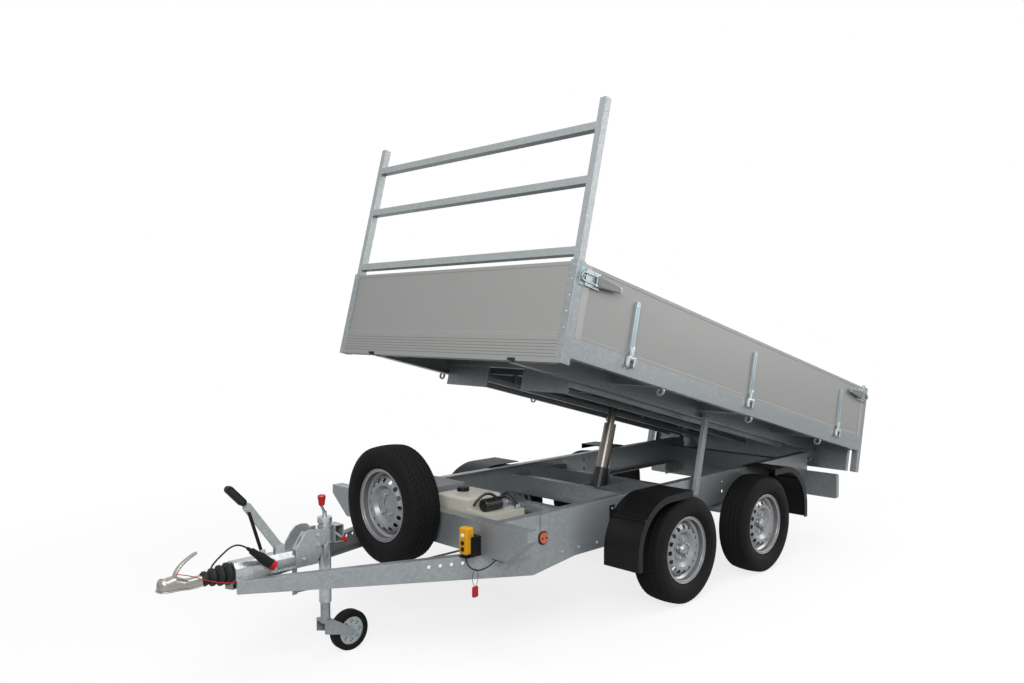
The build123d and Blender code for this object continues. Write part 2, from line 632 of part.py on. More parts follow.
# Overrun housing on the drawbars' noses: a hat section with a front collar, lever and strut lugs, and the
# parking socket for the plug
HOUSING_S = (-2409.0, -1990.0)
HOUSING_AXIS_Z = 518.0
HOUSING_T = 5.0
HOUSING_TOP = 567.0
HAT = (
    (-62.0, BEAM_LOW),
    (-44.0, BEAM_LOW),
    (-44.0, 540.0),
    (-26.0, HOUSING_TOP - HOUSING_T),
    (26.0, HOUSING_TOP - HOUSING_T),
    (44.0, 540.0),
    (44.0, BEAM_LOW),
    (62.0, BEAM_LOW),
)
OVERRUN_R = 22.0
COLLAR_R = 52.0
COLLAR_LEN = 30.0
LEVER_T = 14.0
LEVER_LUG_S = (-2192.0, -2144.0)
LEVER_LUG_TOP = 604.0
STRUT_R = 8.0
STRUT_LUG_S = (-2277.0, -2253.0)
STRUT_LUG_Z = (556.0, 602.0)
LUG_SHEET = 6.0
STRUT_Y = -LEVER_T / 2 - SEAT_GAP - STRUT_R
PLUG_TAIL = (-2357.0, -55.0, 632.0)
PLUG_TIP = (-2250.0, -77.0, 542.0)
PLUG = Plane(
    origin=(st(PLUG_TAIL[0]), PLUG_TAIL[1], PLUG_TAIL[2]),
    z_dir=(PLUG_TIP[0] - PLUG_TAIL[0], PLUG_TIP[1] - PLUG_TAIL[1], PLUG_TIP[2] - PLUG_TAIL[2]),
)
PLUG_LEN = hypot(PLUG_TIP[0] - PLUG_TAIL[0], PLUG_TIP[1] - PLUG_TAIL[1], PLUG_TIP[2] - PLUG_TAIL[2])
SOCKET_R = 21.0
SOCKET_LEN = 22.0
SOCKET_FOOT_S = (-2250.0, -2226.0)
SOCKET_FOOT_Y = (-88.0, -44.0)
SOCKET_FOOT_Z = (512.0, 524.0)
with BuildPart() as overrun_housing:
    with BuildSketch(Plane.YZ.offset(st(HOUSING_S[0]))):
        with BuildLine():
            Polyline(*HAT)
            offset(amount=HOUSING_T, side=Side.LEFT)
        make_face()
    extrude(amount=HOUSING_S[1] - HOUSING_S[0])
    with BuildSketch(Plane.YZ.offset(st(HOUSING_S[0]))):
        with Locations((0, HOUSING_AXIS_Z)):
            Circle(COLLAR_R)
            Circle(OVERRUN_R + SEAT_GAP, mode=Mode.SUBTRACT)
        with Locations((0, BEAM_LOW - COLLAR_R)):
            Rectangle(2 * COLLAR_R, 2 * COLLAR_R, mode=Mode.SUBTRACT)
    extrude(amount=COLLAR_LEN)
    for side in (-1.0, 1.0):
        slab((st(LEVER_LUG_S[0]), st(LEVER_LUG_S[1])),
             (side * (LEVER_T / 2 + SEAT_GAP), side * (LEVER_T / 2 + SEAT_GAP + LUG_SHEET)),
             (HOUSING_TOP - HOUSING_T, LEVER_LUG_TOP))
    slab((st(STRUT_LUG_S[0]), st(STRUT_LUG_S[1])),
         (STRUT_Y - STRUT_R - SEAT_GAP - LUG_SHEET, STRUT_Y - STRUT_R - SEAT_GAP), STRUT_LUG_Z)
    with Locations(PLUG.offset(PLUG_LEN).location):
        Cylinder(SOCKET_R, SOCKET_LEN, align=UPRIGHT)
    slab((st(SOCKET_FOOT_S[0]), st(SOCKET_FOOT_S[1])), SOCKET_FOOT_Y, SOCKET_FOOT_Z)
write(overrun_housing.part, "overrun_housing")

# Plug parked in its socket: length from the tail, radius at both ends
PLUG_STEPS = ((0.0, 7.0, 10.0), (24.0, 15.0, 17.0), (62.0, 19.0, 19.0), (76.0, 22.0, 22.0))
with BuildPart() as plug:
    for index, (start, first, last) in enumerate(PLUG_STEPS):
        end = PLUG_STEPS[index + 1][0] if index + 1 < len(PLUG_STEPS) else PLUG_LEN
        with Locations(PLUG.offset(start).location):
            if first == last:
                Cylinder(first, end - start, align=UPRIGHT)
            else:
                Cone(first, last, end - start, align=UPRIGHT)
write(plug.part, "plug")

# Rubber bellows over the sliding overrun tube: valley and peak of each rib
BELLOWS_S = -2550.0
BELLOWS_R = ((25.0, 33.0), (28.0, 40.0), (33.0, 46.0), (38.0, 51.0))
RIBS = len(BELLOWS_R)
PITCH = (HOUSING_S[0] - BELLOWS_S) / RIBS
RIB_STEPS = ((0.0, 0), (0.3, 1), (0.6, 1), (0.999, 0))
with BuildPart() as bellows:
    with BuildSketch(Plane.XZ):
        with BuildLine():
            Polyline(
                (st(BELLOWS_S), HOUSING_AXIS_Z + OVERRUN_R + SEAT_GAP),
                *[
                    (st(BELLOWS_S) + PITCH * (rib + share), HOUSING_AXIS_Z + BELLOWS_R[rib][which])
                    for rib in range(RIBS)
                    for share, which in RIB_STEPS
                ],
                (st(HOUSING_S[0]), HOUSING_AXIS_Z + OVERRUN_R + SEAT_GAP),
                close=True,
            )
        make_face()
    revolve(axis=Axis((0, 0, HOUSING_AXIS_Z), (1, 0, 0)))
write(bellows.part, "bellows")

# Pressed ball coupling with its handle, on the overrun tube
HEAD_R = 40.0
LIP_W = 5.0
LIP_TOP = 498.0
BALL_S = NOSE_S + HEAD_R + LIP_W
BALL_R = 25.2
BALL_SOCKET_LOW = 492.0
BALL_SOCKET_DEEP = 42.0
NECK_S = -2632.0
NECK_HALF_W = 27.0
HEAD_SIDE = (
    (NOSE_S, BALL_SOCKET_LOW),
    (NOSE_S + LIP_W, 538.0),
    (NOSE_S + 17.0, 560.0),
    (NOSE_S + 41.0, 568.0),
    (NOSE_S + 71.0, 561.0),
    (NOSE_S + 97.0, 546.0),
    (BELLOWS_S - 40.0, 542.0),
    (BELLOWS_S, 538.0),
    (BELLOWS_S, 497.0),
    (BELLOWS_S - 40.0, BALL_SOCKET_LOW),
)
HANDLE = ((-2668.0, 548.0), (-2658.0, 586.0), (-2584.0, 640.0), (-2570.0, 641.0))
HANDLE_HALF_W = 14.0
HANDLE_HALF_T = 6.0
OVERRUN_TUBE_S = -2330.0
with BuildPart() as coupling_head:
    with BuildSketch(Plane.XY.offset(BALL_SOCKET_LOW)):
        with Locations((st(BALL_S), 0)):
            Circle(HEAD_R)
        Polygon((st(BALL_S), -HEAD_R), (st(NECK_S), -NECK_HALF_W), (st(BELLOWS_S), -NECK_HALF_W),
                (st(BELLOWS_S), NECK_HALF_W), (st(NECK_S), NECK_HALF_W), (st(BALL_S), HEAD_R), align=None)
    extrude(amount=2 * HEAD_R)
    with BuildSketch(Plane.XY.offset(BALL_SOCKET_LOW)):
        with Locations((st(BALL_S), 0)):
            Circle(HEAD_R + LIP_W)
    extrude(amount=LIP_TOP - BALL_SOCKET_LOW)
    with BuildSketch(Plane.XZ.offset(-HEAD_R - LIP_W)):
        Polygon(*[(st(s), z) for s, z in HEAD_SIDE], align=None)
    extrude(amount=2 * (HEAD_R + LIP_W), mode=Mode.INTERSECT)
    with Locations((st(BALL_S), 0, BALL_SOCKET_LOW)):
        Cylinder(BALL_R, BALL_SOCKET_DEEP, align=UPRIGHT, mode=Mode.SUBTRACT)
    with BuildSketch(Plane.XZ.offset(-HANDLE_HALF_W)):
        with BuildLine():
            Polyline(*[(st(s), z) for s, z in HANDLE])
            offset(amount=HANDLE_HALF_T, side=Side.BOTH)
        make_face()
    extrude(amount=2 * HANDLE_HALF_W)
    with Locations(Location((st(BELLOWS_S), 0, HOUSING_AXIS_Z), (0, 90, 0))):
        Cylinder(OVERRUN_R, OVERRUN_TUBE_S - BELLOWS_S, align=UPRIGHT)
write(coupling_head.part, "coupling_head")

# Handbrake lever, and its grip with the gas strut beside the lever
LEVER_HALF_W = 20.0
LEVER = ((-2168.0, HOUSING_TOP + LEVER_HALF_W + SEAT_GAP), (-2327.0, 805.0), (-2413.0, 896.0))
GRIP_HALF_W = 17.0
GRIP_START = (-2352.0, 832.0)
GRIP_T = 32.0
STRUT = ((-2265.0, 588.0), (-2326.0, 782.0))
with BuildPart() as handbrake_lever:
    with BuildSketch(Plane.XZ.offset(-LEVER_T / 2)):
        with BuildLine():
            Polyline((st(LEVER[0][0]), LEVER[0][1]), (st(LEVER[1][0]), LEVER[1][1]))
            offset(amount=LEVER_HALF_W, side=Side.BOTH)
        make_face()
    extrude(amount=LEVER_T)
write(handbrake_lever.part, "handbrake_lever")
with BuildPart() as handbrake_grip:
    with BuildSketch(Plane.XZ.offset(-GRIP_T / 2)):
        with BuildLine():
            Polyline((st(GRIP_START[0]), GRIP_START[1]), (st(LEVER[2][0]), LEVER[2][1]))
            offset(amount=GRIP_HALF_W, side=Side.BOTH)
        make_face()
    extrude(amount=GRIP_T)
    with BuildSketch(Plane.XZ.offset(-LEVER_T / 2 - SEAT_GAP)):
        with BuildLine():
            Polyline((st(LEVER[0][0]), LEVER[0][1]), (st(LEVER[1][0]), LEVER[1][1]))
            offset(amount=LEVER_HALF_W + SEAT_GAP, side=Side.BOTH)
        make_face()
    extrude(amount=LEVER_T + 2 * SEAT_GAP, mode=Mode.SUBTRACT)
    strut_run = (STRUT[1][0] - STRUT[0][0], STRUT[1][1] - STRUT[0][1])
    with Locations(Plane(origin=(st(STRUT[0][0]), STRUT_Y, STRUT[0][1]),
                         z_dir=(strut_run[0], 0, strut_run[1])).location):
        Cylinder(STRUT_R, hypot(*strut_run), align=UPRIGHT)
write(handbrake_grip.part, "handbrake_grip")

# Jockey wheel clamp with its clamping bolt, outer tube with cap and bent crank, and the leg with its fork
CLAMP_HALF_W = 50.0
CLAMP_SHEET = 6.0
CLAMP_BOLT_R = 7.0
CLAMP_BOLT = ((-1878.0, 610.0), (-1822.0, 565.0))
CLAMP_FOOT_Z = BEAM_LOW + HOUSING_T + SEAT_GAP
CLAMP_SIDE = (
    (-2115.0, CLAMP_FOOT_Z),
    (-2115.0, 600.0),
    (-2050.0, 668.0),
    (JOCKEY_S + 40.0, 668.0),
    (JOCKEY_S + 40.0, 545.0),
    (-2000.0, CLAMP_FOOT_Z),
)
CLAMP_BLOCK_S = (JOCKEY_S - 45.0, JOCKEY_S + 40.0)
CLAMP_BLOCK_Z = (550.0, 640.0)
CLAMP_WEB_S = (-2112.0, -2106.0)
CLAMP_WEB_TOP = 600.0
CLAMP_OUT_Y = CLAMP_HALF_W + CLAMP_SHEET
with BuildPart() as jockey_clamp:
    with BuildSketch(Plane.XZ.offset(-CLAMP_HALF_W)):
        Polygon(*[(st(s), z) for s, z in CLAMP_SIDE], align=None)
    extrude(amount=-CLAMP_SHEET)
    mirror(about=Plane.XZ)
    slab((st(CLAMP_BLOCK_S[0]), st(CLAMP_BLOCK_S[1])), (-CLAMP_OUT_Y, CLAMP_OUT_Y), CLAMP_BLOCK_Z)
    slab((st(CLAMP_WEB_S[0]), st(CLAMP_WEB_S[1])), (-CLAMP_HALF_W, CLAMP_HALF_W),
         (HOUSING_TOP + SEAT_GAP, CLAMP_WEB_TOP))
    with Locations((st(JOCKEY_S), 0, sum(CLAMP_BLOCK_Z) / 2)):
        Cylinder(JOCKEY_TUBE_R + RUN_GAP, 2 * (CLAMP_BLOCK_Z[1] - CLAMP_BLOCK_Z[0]), mode=Mode.SUBTRACT)
    bolt_run = (CLAMP_BOLT[1][0] - CLAMP_BOLT[0][0], CLAMP_BOLT[1][1] - CLAMP_BOLT[0][1])
    with Locations(Plane(origin=(st(CLAMP_BOLT[0][0]), -CLAMP_OUT_Y - CLAMP_BOLT_R, CLAMP_BOLT[0][1]),
                         z_dir=(bolt_run[0], 0, bolt_run[1])).location):
        Cylinder(CLAMP_BOLT_R, hypot(*bolt_run), align=UPRIGHT)
write(jockey_clamp.part, "jockey_clamp")
TUBE_Z = (275.0, 690.0)
TUBE_BORE = 330.0
CAP_R = 36.0
CAP_Z = 668.0
SPINDLE_R = 11.0
SPINDLE_Z = 722.0
CRANK_TOP = (-34.0, -30.0, 762.0)
CRANK_R = 7.0
KNOB_R = (13.0, 19.0)
KNOB_LEN = 46.0
with BuildPart() as jockey_tube:
    with Locations((st(JOCKEY_S), 0, TUBE_Z[0])):
        Cylinder(JOCKEY_TUBE_R, TUBE_Z[1] - TUBE_Z[0], align=UPRIGHT)
        Cylinder(JOCKEY_LEG_R + RUN_GAP, TUBE_BORE, align=UPRIGHT, mode=Mode.SUBTRACT)
    with Locations((st(JOCKEY_S), 0, CAP_Z)):
        Cylinder(CAP_R, TUBE_Z[1] - CAP_Z + SHEET, align=UPRIGHT)
        Cylinder(SPINDLE_R, SPINDLE_Z - CAP_Z, align=UPRIGHT)
    crank = (CRANK_TOP[0], CRANK_TOP[1], CRANK_TOP[2] - SPINDLE_Z)
    with Locations(Plane(origin=(st(JOCKEY_S), 0, SPINDLE_Z - CRANK_R), z_dir=crank).location):
        Cylinder(CRANK_R, hypot(*crank) + CRANK_R, align=UPRIGHT)
    with Locations((st(JOCKEY_S) + CRANK_TOP[0], CRANK_TOP[1], CRANK_TOP[2])):
        Cone(*KNOB_R, KNOB_LEN, align=UPRIGHT)
write(jockey_tube.part, "jockey_tube")
FORK_Y = JOCKEY_WHEEL_W / 2 + 6.0
FORK_T = 5.0
HUB = (st(JOCKEY_S) + JOCKEY_TRAIL, JOCKEY_WHEEL_R)
FORK_SIDE = (
    (st(JOCKEY_S) - 26.0, 190.0),
    (st(JOCKEY_S) - 26.0, 125.0),
    (HUB[0], HUB[1] - 18.0),
    (HUB[0] + 16.0, HUB[1]),
    (HUB[0], HUB[1] + 18.0),
    (st(JOCKEY_S) + 26.0, 185.0),
)
FORK_CROWN_S = (JOCKEY_S - 26.0, JOCKEY_S + 20.0)
FORK_CROWN_Z = (176.0, 190.0)
LEG_LOW = 170.0
LEG_LEN = 400.0
JOCKEY_AXLE_R = 8.0
JOCKEY_RIM_R = 70.0
JOCKEY_RIM_INSET = 7.0
JOCKEY_HUB_R = 24.0
JOCKEY_SHOULDER_R = 14.0
DIMPLE_R = 10.0
DIMPLE_FLOOR_R = 7.0
DIMPLE_DEEP = 9.0
DIMPLE_CIRCLE_R = 47.0
DIMPLES = 8
with BuildPart() as jockey_leg:
    with Locations((st(JOCKEY_S), 0, LEG_LOW)):
        Cylinder(JOCKEY_LEG_R, LEG_LEN, align=UPRIGHT)
    with BuildSketch(Plane.XZ.offset(FORK_Y)):
        Polygon(*FORK_SIDE, align=None)
    extrude(amount=FORK_T)
    mirror(about=Plane.XZ)
    slab((st(FORK_CROWN_S[0]), st(FORK_CROWN_S[1])), (-FORK_Y, FORK_Y), FORK_CROWN_Z)
    with Locations(Location((HUB[0], 0, HUB[1]), (90, 0, 0))):
        Cylinder(JOCKEY_AXLE_R, 2 * FORK_Y)
write(jockey_leg.part, "jockey_leg")
with BuildPart() as jockey_wheel_rim:
    with Locations(Location((HUB[0], 0, HUB[1]), (90, 0, 0))):
        Cylinder(JOCKEY_RIM_R, JOCKEY_WHEEL_W - 2 * JOCKEY_RIM_INSET)
        Cylinder(JOCKEY_HUB_R, JOCKEY_WHEEL_W)
        Cylinder(JOCKEY_AXLE_R + RUN_GAP / 10, JOCKEY_WHEEL_W, mode=Mode.SUBTRACT)
    for side in (-90, 90):
        with Locations(Location((HUB[0], 0, HUB[1]), (side, 0, 0))):
            with Locations((0, 0, JOCKEY_WHEEL_W / 2 - JOCKEY_RIM_INSET - DIMPLE_DEEP)):
                with PolarLocations(DIMPLE_CIRCLE_R, DIMPLES):
                    Cone(DIMPLE_FLOOR_R, DIMPLE_R, DIMPLE_DEEP, align=UPRIGHT, mode=Mode.SUBTRACT)
write(jockey_wheel_rim.part, "jockey_wheel_rim")
with BuildPart() as jockey_wheel_tyre:
    with Locations(Location((HUB[0], 0, HUB[1]), (90, 0, 0))):
        Cylinder(JOCKEY_WHEEL_R, JOCKEY_WHEEL_W)
        Cylinder(JOCKEY_RIM_R, JOCKEY_WHEEL_W, mode=Mode.SUBTRACT)
    shoulders = jockey_wheel_tyre.edges().filter_by(GeomType.CIRCLE).sort_by(SortBy.RADIUS)[-2:]
    fillet(shoulders, JOCKEY_SHOULDER_R)
write(jockey_wheel_tyre.part, "jockey_wheel_tyre")

# Bed frame: long beams over the rails, with the hinge ears at their tails
with BuildPart(BED) as bed_long_beams:
    beam_y = (-BED_BEAM_Y - BED_BEAM_W / 2, -BED_BEAM_Y + BED_BEAM_W / 2)
    slab((FRONT_A + FRONT_BEAM_T, BED_OVERHANG - REAR_BEAM_T), beam_y, (BED_BEAM_LOW, FLOOR_LOW))
    slab((FRONT_A + FRONT_BEAM_T, BED_OVERHANG - REAR_BEAM_T), (beam_y[0] + SHEET, beam_y[1]),
         (BED_BEAM_LOW + SHEET, FLOOR_LOW - SHEET), mode=Mode.SUBTRACT)
    ear_y = RAIL_Y - RAIL_FLANGE + LUG_T + 1.0
    with BuildSketch(on_bed(Plane.XZ.offset(ear_y))):
        with Locations((0, -BED_ABOVE_HINGE)):
            Circle(LUG_R)
        with Locations((0, (BED_BEAM_LOW - BED_ABOVE_HINGE) / 2)):
            Rectangle(2 * LUG_R, BED_BEAM_LOW + BED_ABOVE_HINGE)
        with Locations((0, -BED_ABOVE_HINGE)):
            Circle(HINGE_PIN_R + RUN_GAP / 10, mode=Mode.SUBTRACT)
    extrude(amount=LUG_T)
    mirror(about=Plane.XZ)
    with Locations(Location((PROP_A, beam_y[0], PROP_W), (90, 0, 0))):
        Cylinder(PROP_PIN_R, PROP_PIN_LEN, align=UPRIGHT)
write(bed_long_beams.part, "bed_long_beams")

# Cross members between the long beams, folded outriggers to the side rails, and the cylinder's eye bracket
CROSS_A = (-2690.0, -2414.0, -1850.0, -1526.0, -1050.0, -580.0, -150.0)
OUTRIGGERS_A = (-2414.0, -1526.0, -580.0)
EYE_PLATE_Y = (58.0, 70.0)
INNER_Y = BED_BEAM_Y - BED_BEAM_W / 2
OUTER_Y = BED_BEAM_Y + BED_BEAM_W / 2
RAIL_IN_Y = BED_W / 2 - SIDE_RAIL_T
OUTRIGGER_LOW = SIDE_RAIL_LOW + SHEET
with BuildPart(BED) as bed_cross_members:
    for a in CROSS_A:
        slab((a - CROSS_W / 2, a + CROSS_W / 2), (-INNER_Y, INNER_Y), (FLOOR_LOW - CROSS_H, FLOOR_LOW))
        slab((a - CROSS_W / 2 + SHEET, a + CROSS_W / 2), (-INNER_Y, INNER_Y),
             (FLOOR_LOW - CROSS_H + SHEET, FLOOR_LOW - SHEET), mode=Mode.SUBTRACT)
    for a in OUTRIGGERS_A:
        for side in (-1.0, 1.0):
            slab((a - CROSS_W / 2, a - CROSS_W / 2 + SHEET), (side * OUTER_Y, side * RAIL_IN_Y),
                 (OUTRIGGER_LOW, FLOOR_LOW))
            slab((a - CROSS_W / 2, a + CROSS_W / 2), (side * OUTER_Y, side * RAIL_IN_Y),
                 (OUTRIGGER_LOW, OUTRIGGER_LOW + SHEET))
    for side in (-1.0, 1.0):
        slab((CROSS_A[2] + CROSS_W / 2, CROSS_A[3] - CROSS_W / 2),
             (side * EYE_PLATE_Y[0], side * EYE_PLATE_Y[1]), (EYE_W - EYE_R, FLOOR_LOW))
write(bed_cross_members.part, "bed_cross_members")

# Floor, ribbed front beam with notches, side rails with hinge ears and lashing rings, and rear beam
BEAM_NOTCH_Y = 600.0
BEAM_NOTCH = (60.0, 16.0)
BEAM_RIBS_W = (24.0, 40.0, 56.0, 72.0, 88.0, 104.0)
BEAM_RIB = (4.0, 1.5)
with BuildPart(BED) as bed_floor:
    slab((FRONT_A + FRONT_BEAM_T, BED_OVERHANG - REAR_BEAM_T), (-RAIL_IN_Y, RAIL_IN_Y),
         (FLOOR_LOW, FLOOR_LOW + FLOOR_T))
write(bed_floor.part, "bed_floor")
with BuildPart(BED) as front_beam:
    slab((FRONT_A, FRONT_A + FRONT_BEAM_T), (-RAIL_IN_Y, RAIL_IN_Y), (0, FRONT_BEAM_H))
    slab((FRONT_A + SHEET, FRONT_A + FRONT_BEAM_T), (-RAIL_IN_Y, RAIL_IN_Y), (SHEET, FRONT_BEAM_H - SHEET),
         mode=Mode.SUBTRACT)
    for w in BEAM_RIBS_W:
        slab((FRONT_A, FRONT_A + BEAM_RIB[1]), (-RAIL_IN_Y, RAIL_IN_Y), (w, w + BEAM_RIB[0]),
             mode=Mode.SUBTRACT)
    for side in (-1.0, 1.0):
        slab((FRONT_A, FRONT_A + FRONT_BEAM_T),
             (side * BEAM_NOTCH_Y - BEAM_NOTCH[0] / 2, side * BEAM_NOTCH_Y + BEAM_NOTCH[0] / 2),
             (0, BEAM_NOTCH[1]), mode=Mode.SUBTRACT)
write(front_beam.part, "front_beam")
EAR_LOW = SIDE_HINGE_W - 26.0
RING_Y = BED_W / 2 - SIDE_RAIL_T / 2
RING_R = 20.0
RING_ROD_R = 5.0
RINGS_A = (-2413.0, -1489.0, -565.0)
RAIL_SPAN_A = (FRONT_A + POST_T, BED_OVERHANG - POST_W)
with BuildPart(BED) as bed_side_rails:
    slab(RAIL_SPAN_A, (-BED_W / 2, -RAIL_IN_Y), (SIDE_RAIL_LOW, FRONT_BEAM_H))
    slab(RAIL_SPAN_A, (-BED_W / 2 + SHEET, -RAIL_IN_Y - SHEET),
         (SIDE_RAIL_LOW + SHEET, FRONT_BEAM_H - SHEET), mode=Mode.SUBTRACT)
    for a in STRAPS_A:
        with Locations(Location((a, -SIDE_HINGE_Y, SIDE_HINGE_W), (0, 90, 0))):
            Cylinder(KNUCKLE_PIN_R, KNUCKLE_LEN + 2 * KNUCKLE_EAR_T + PANEL_GAP)
        for way in (-1.0, 1.0):
            ear = a + way * (KNUCKLE_LEN + KNUCKLE_EAR_T + PANEL_GAP) / 2
            with BuildSketch(on_bed(Plane.YZ.offset(ear - KNUCKLE_EAR_T / 2))):
                with Locations((-SIDE_HINGE_Y, SIDE_HINGE_W)):
                    Circle(KNUCKLE_R)
                Polygon((-SIDE_HINGE_Y - KNUCKLE_R, SIDE_HINGE_W), (-BED_W / 2, SIDE_HINGE_W),
                        (-BED_W / 2, EAR_LOW), align=None)
            extrude(amount=KNUCKLE_EAR_T)
    for a in RINGS_A:
        with BuildSketch(on_bed(Plane.YZ.offset(a - RING_ROD_R))):
            with Locations((-RING_Y, SIDE_RAIL_LOW - RING_R + RING_ROD_R / 2)):
                Circle(RING_R + RING_ROD_R)
                Circle(RING_R - RING_ROD_R, mode=Mode.SUBTRACT)
        extrude(amount=2 * RING_ROD_R)
    mirror(about=Plane.XZ)
write(bed_side_rails.part, "bed_side_rails")
with BuildPart(BED) as rear_beam:
    rear_a = (BED_OVERHANG - REAR_BEAM_T, BED_OVERHANG)
    slab(rear_a, (-RAIL_IN_Y + REAR_BEAM_GAP, RAIL_IN_Y - REAR_BEAM_GAP), (REAR_BEAM_LOW, SIDE_RAIL_LOW))
    slab(rear_a, (-RAIL_IN_Y, RAIL_IN_Y), (SIDE_RAIL_LOW, FLOOR_LOW + FLOOR_T))
    slab((rear_a[0], rear_a[1] - SHEET),
         (-RAIL_IN_Y + REAR_BEAM_GAP + SHEET, RAIL_IN_Y - REAR_BEAM_GAP - SHEET),
         (REAR_BEAM_LOW + SHEET, FLOOR_LOW), mode=Mode.SUBTRACT)
write(rear_beam.part, "rear_beam")

# Corner posts, hollow and capped, with the latches' keepers: pin of each latch along the bed and the way in
LATCHES = ((FRONT_A + POST_T - 16.0, 1.0), (BED_OVERHANG - POST_W + 16.0, -1.0))
LATCH_W = 436.0
LATCH_PIN_R = 6.0
LATCH_PIN_OUT = 22.0
KEEPER = (14.0, 46.0, 3.0)
POST_PIN_R = 11.0
POST_PIN_H = 16.0
with BuildPart(BED) as corner_posts:
    for post_a, low in (
        ((FRONT_A, FRONT_A + POST_T), 0.0),
        ((BED_OVERHANG - POST_W, BED_OVERHANG), REAR_BEAM_LOW),
    ):
        slab(post_a, (-BED_W / 2, -RAIL_IN_Y), (low, POST_TOP))
        slab((post_a[0] + SHEET, post_a[1] - SHEET), (-BED_W / 2 + SHEET, -RAIL_IN_Y - SHEET),
             (low, POST_TOP - SHEET), mode=Mode.SUBTRACT)
    for a, way in LATCHES:
        slab((a - KEEPER[0], a + KEEPER[0]), (-BED_W / 2, -BED_W / 2 - KEEPER[2]),
             (LATCH_W - KEEPER[1], LATCH_W + KEEPER[1]))
        with Locations(Location((a, -BED_W / 2, LATCH_W), (90, 0, 0))):
            Cylinder(LATCH_PIN_R, LATCH_PIN_OUT, align=UPRIGHT)
    with Locations((BED_OVERHANG - POST_W / 2, -BED_W / 2 + SIDE_RAIL_T / 2, POST_TOP)):
        Cylinder(POST_PIN_R, POST_PIN_H, align=UPRIGHT)
    mirror(about=Plane.XZ)
write(corner_posts.part, "corner_posts")

# Hollow-section boards with a bead along the top and the bottom; (distance into the board, height)
BEAD_H = 18.0
BEAD_OUT = 1.5


def board(inner, outer, low):
    """Outline of a board's section between two faces, with its middle set back between the beads."""
    set_back = BEAD_OUT if outer > inner else -BEAD_OUT
    return (
        (inner, low),
        (outer, low),
        (outer, low + BEAD_H),
        (outer - set_back, low + BEAD_H + BEAD_OUT),
        (outer - set_back, WALL_TOP - BEAD_H - BEAD_OUT),
        (outer, WALL_TOP - BEAD_H),
        (outer, WALL_TOP),
        (inner, WALL_TOP),
    )


WALL_BACK = 8.0
GATE_BACK = 9.0
GATE_LOW = FLOOR_LOW + FLOOR_T + SEAT_GAP
GATE_STRAPS_Y = (-600.0, 0.0, 600.0)
GATE_STRAP_HALF_W = 14.0
GATE_STRAP_T = 6.0
GATE_STRAP_TOP = 410.0
with BuildPart(BED) as front_wall:
    with BuildSketch(on_bed(Plane.XZ.offset(-RAIL_IN_Y))):
        Polygon(*board(FRONT_A + WALL_BACK + WALL_T, FRONT_A + WALL_BACK, WALL_LOW), align=None)
    extrude(amount=2 * RAIL_IN_Y)
write(front_wall.part, "front_wall")
with BuildPart(BED) as tailgate:
    with BuildSketch(on_bed(Plane.XZ.offset(-RAIL_IN_Y))):
        Polygon(*board(BED_OVERHANG - GATE_BACK - WALL_T, BED_OVERHANG - GATE_BACK, GATE_LOW), align=None)
    extrude(amount=2 * RAIL_IN_Y)
    for y in GATE_STRAPS_Y:
        with BuildSketch(on_bed(Plane.YZ.offset(BED_OVERHANG - GATE_BACK - BEAD_OUT))):
            with BuildLine():
                Line((y, GATE_LOW + GATE_STRAP_HALF_W), (y, GATE_STRAP_TOP))
                offset(amount=GATE_STRAP_HALF_W, side=Side.BOTH)
            make_face()
        extrude(amount=BEAD_OUT + GATE_STRAP_T)
write(tailgate.part, "tailgate")

# Ladder rack on the front posts
with BuildPart(BED) as ladder_rack:
    rack_a = (FRONT_A + (POST_T - RACK_TUBE) / 2, FRONT_A + (POST_T + RACK_TUBE) / 2)
    rack_y = BED_W / 2 - (SIDE_RAIL_T - RACK_TUBE) / 2
    for y in (-1.0, 1.0):
        slab(rack_a, (y * rack_y, y * (rack_y - RACK_TUBE)), (POST_TOP, RACK_TOP))
    for height in RACK_BAR_HEIGHTS:
        slab(rack_a, (-rack_y + RACK_TUBE, rack_y - RACK_TUBE),
             (height - RACK_TUBE / 2, height + RACK_TUBE / 2))
write(ladder_rack.part, "ladder_rack")

# Ramp guides under the bed, on hangers from the cross members, with end plates at the front
RAMP_RAILS_Y = (-500.0, -200.0, 200.0, 500.0)
RAMP_A = (-2690.0, -280.0)
RAMP_W = (-30.0, 0.0)
RAMP_HALF = 15.0
HANGERS_A = (-2414.0, -1050.0, -580.0)
HANGER_HALF = 12.0
END_PLATE_Y = (145.0, 515.0)
END_PLATE_LOW = -72.0
with BuildPart(BED) as ramp_rails:
    for y in RAMP_RAILS_Y:
        slab(RAMP_A, (y - RAMP_HALF, y + RAMP_HALF), RAMP_W)
        slab(RAMP_A, (y - RAMP_HALF + SHEET, y + RAMP_HALF - SHEET), (RAMP_W[0] + SHEET, RAMP_W[1]),
             mode=Mode.SUBTRACT)
        for a in HANGERS_A:
            slab((a - HANGER_HALF, a + HANGER_HALF), (y - HANGER_HALF, y + HANGER_HALF),
                 (RAMP_W[0], FLOOR_LOW - CROSS_H))
    for side in (-1.0, 1.0):
        slab((RAMP_A[0] - SHEET, RAMP_A[0]), (side * END_PLATE_Y[0], side * END_PLATE_Y[1]),
             (END_PLATE_LOW, FLOOR_LOW - CROSS_H))
write(ramp_rails.part, "ramp_rails")

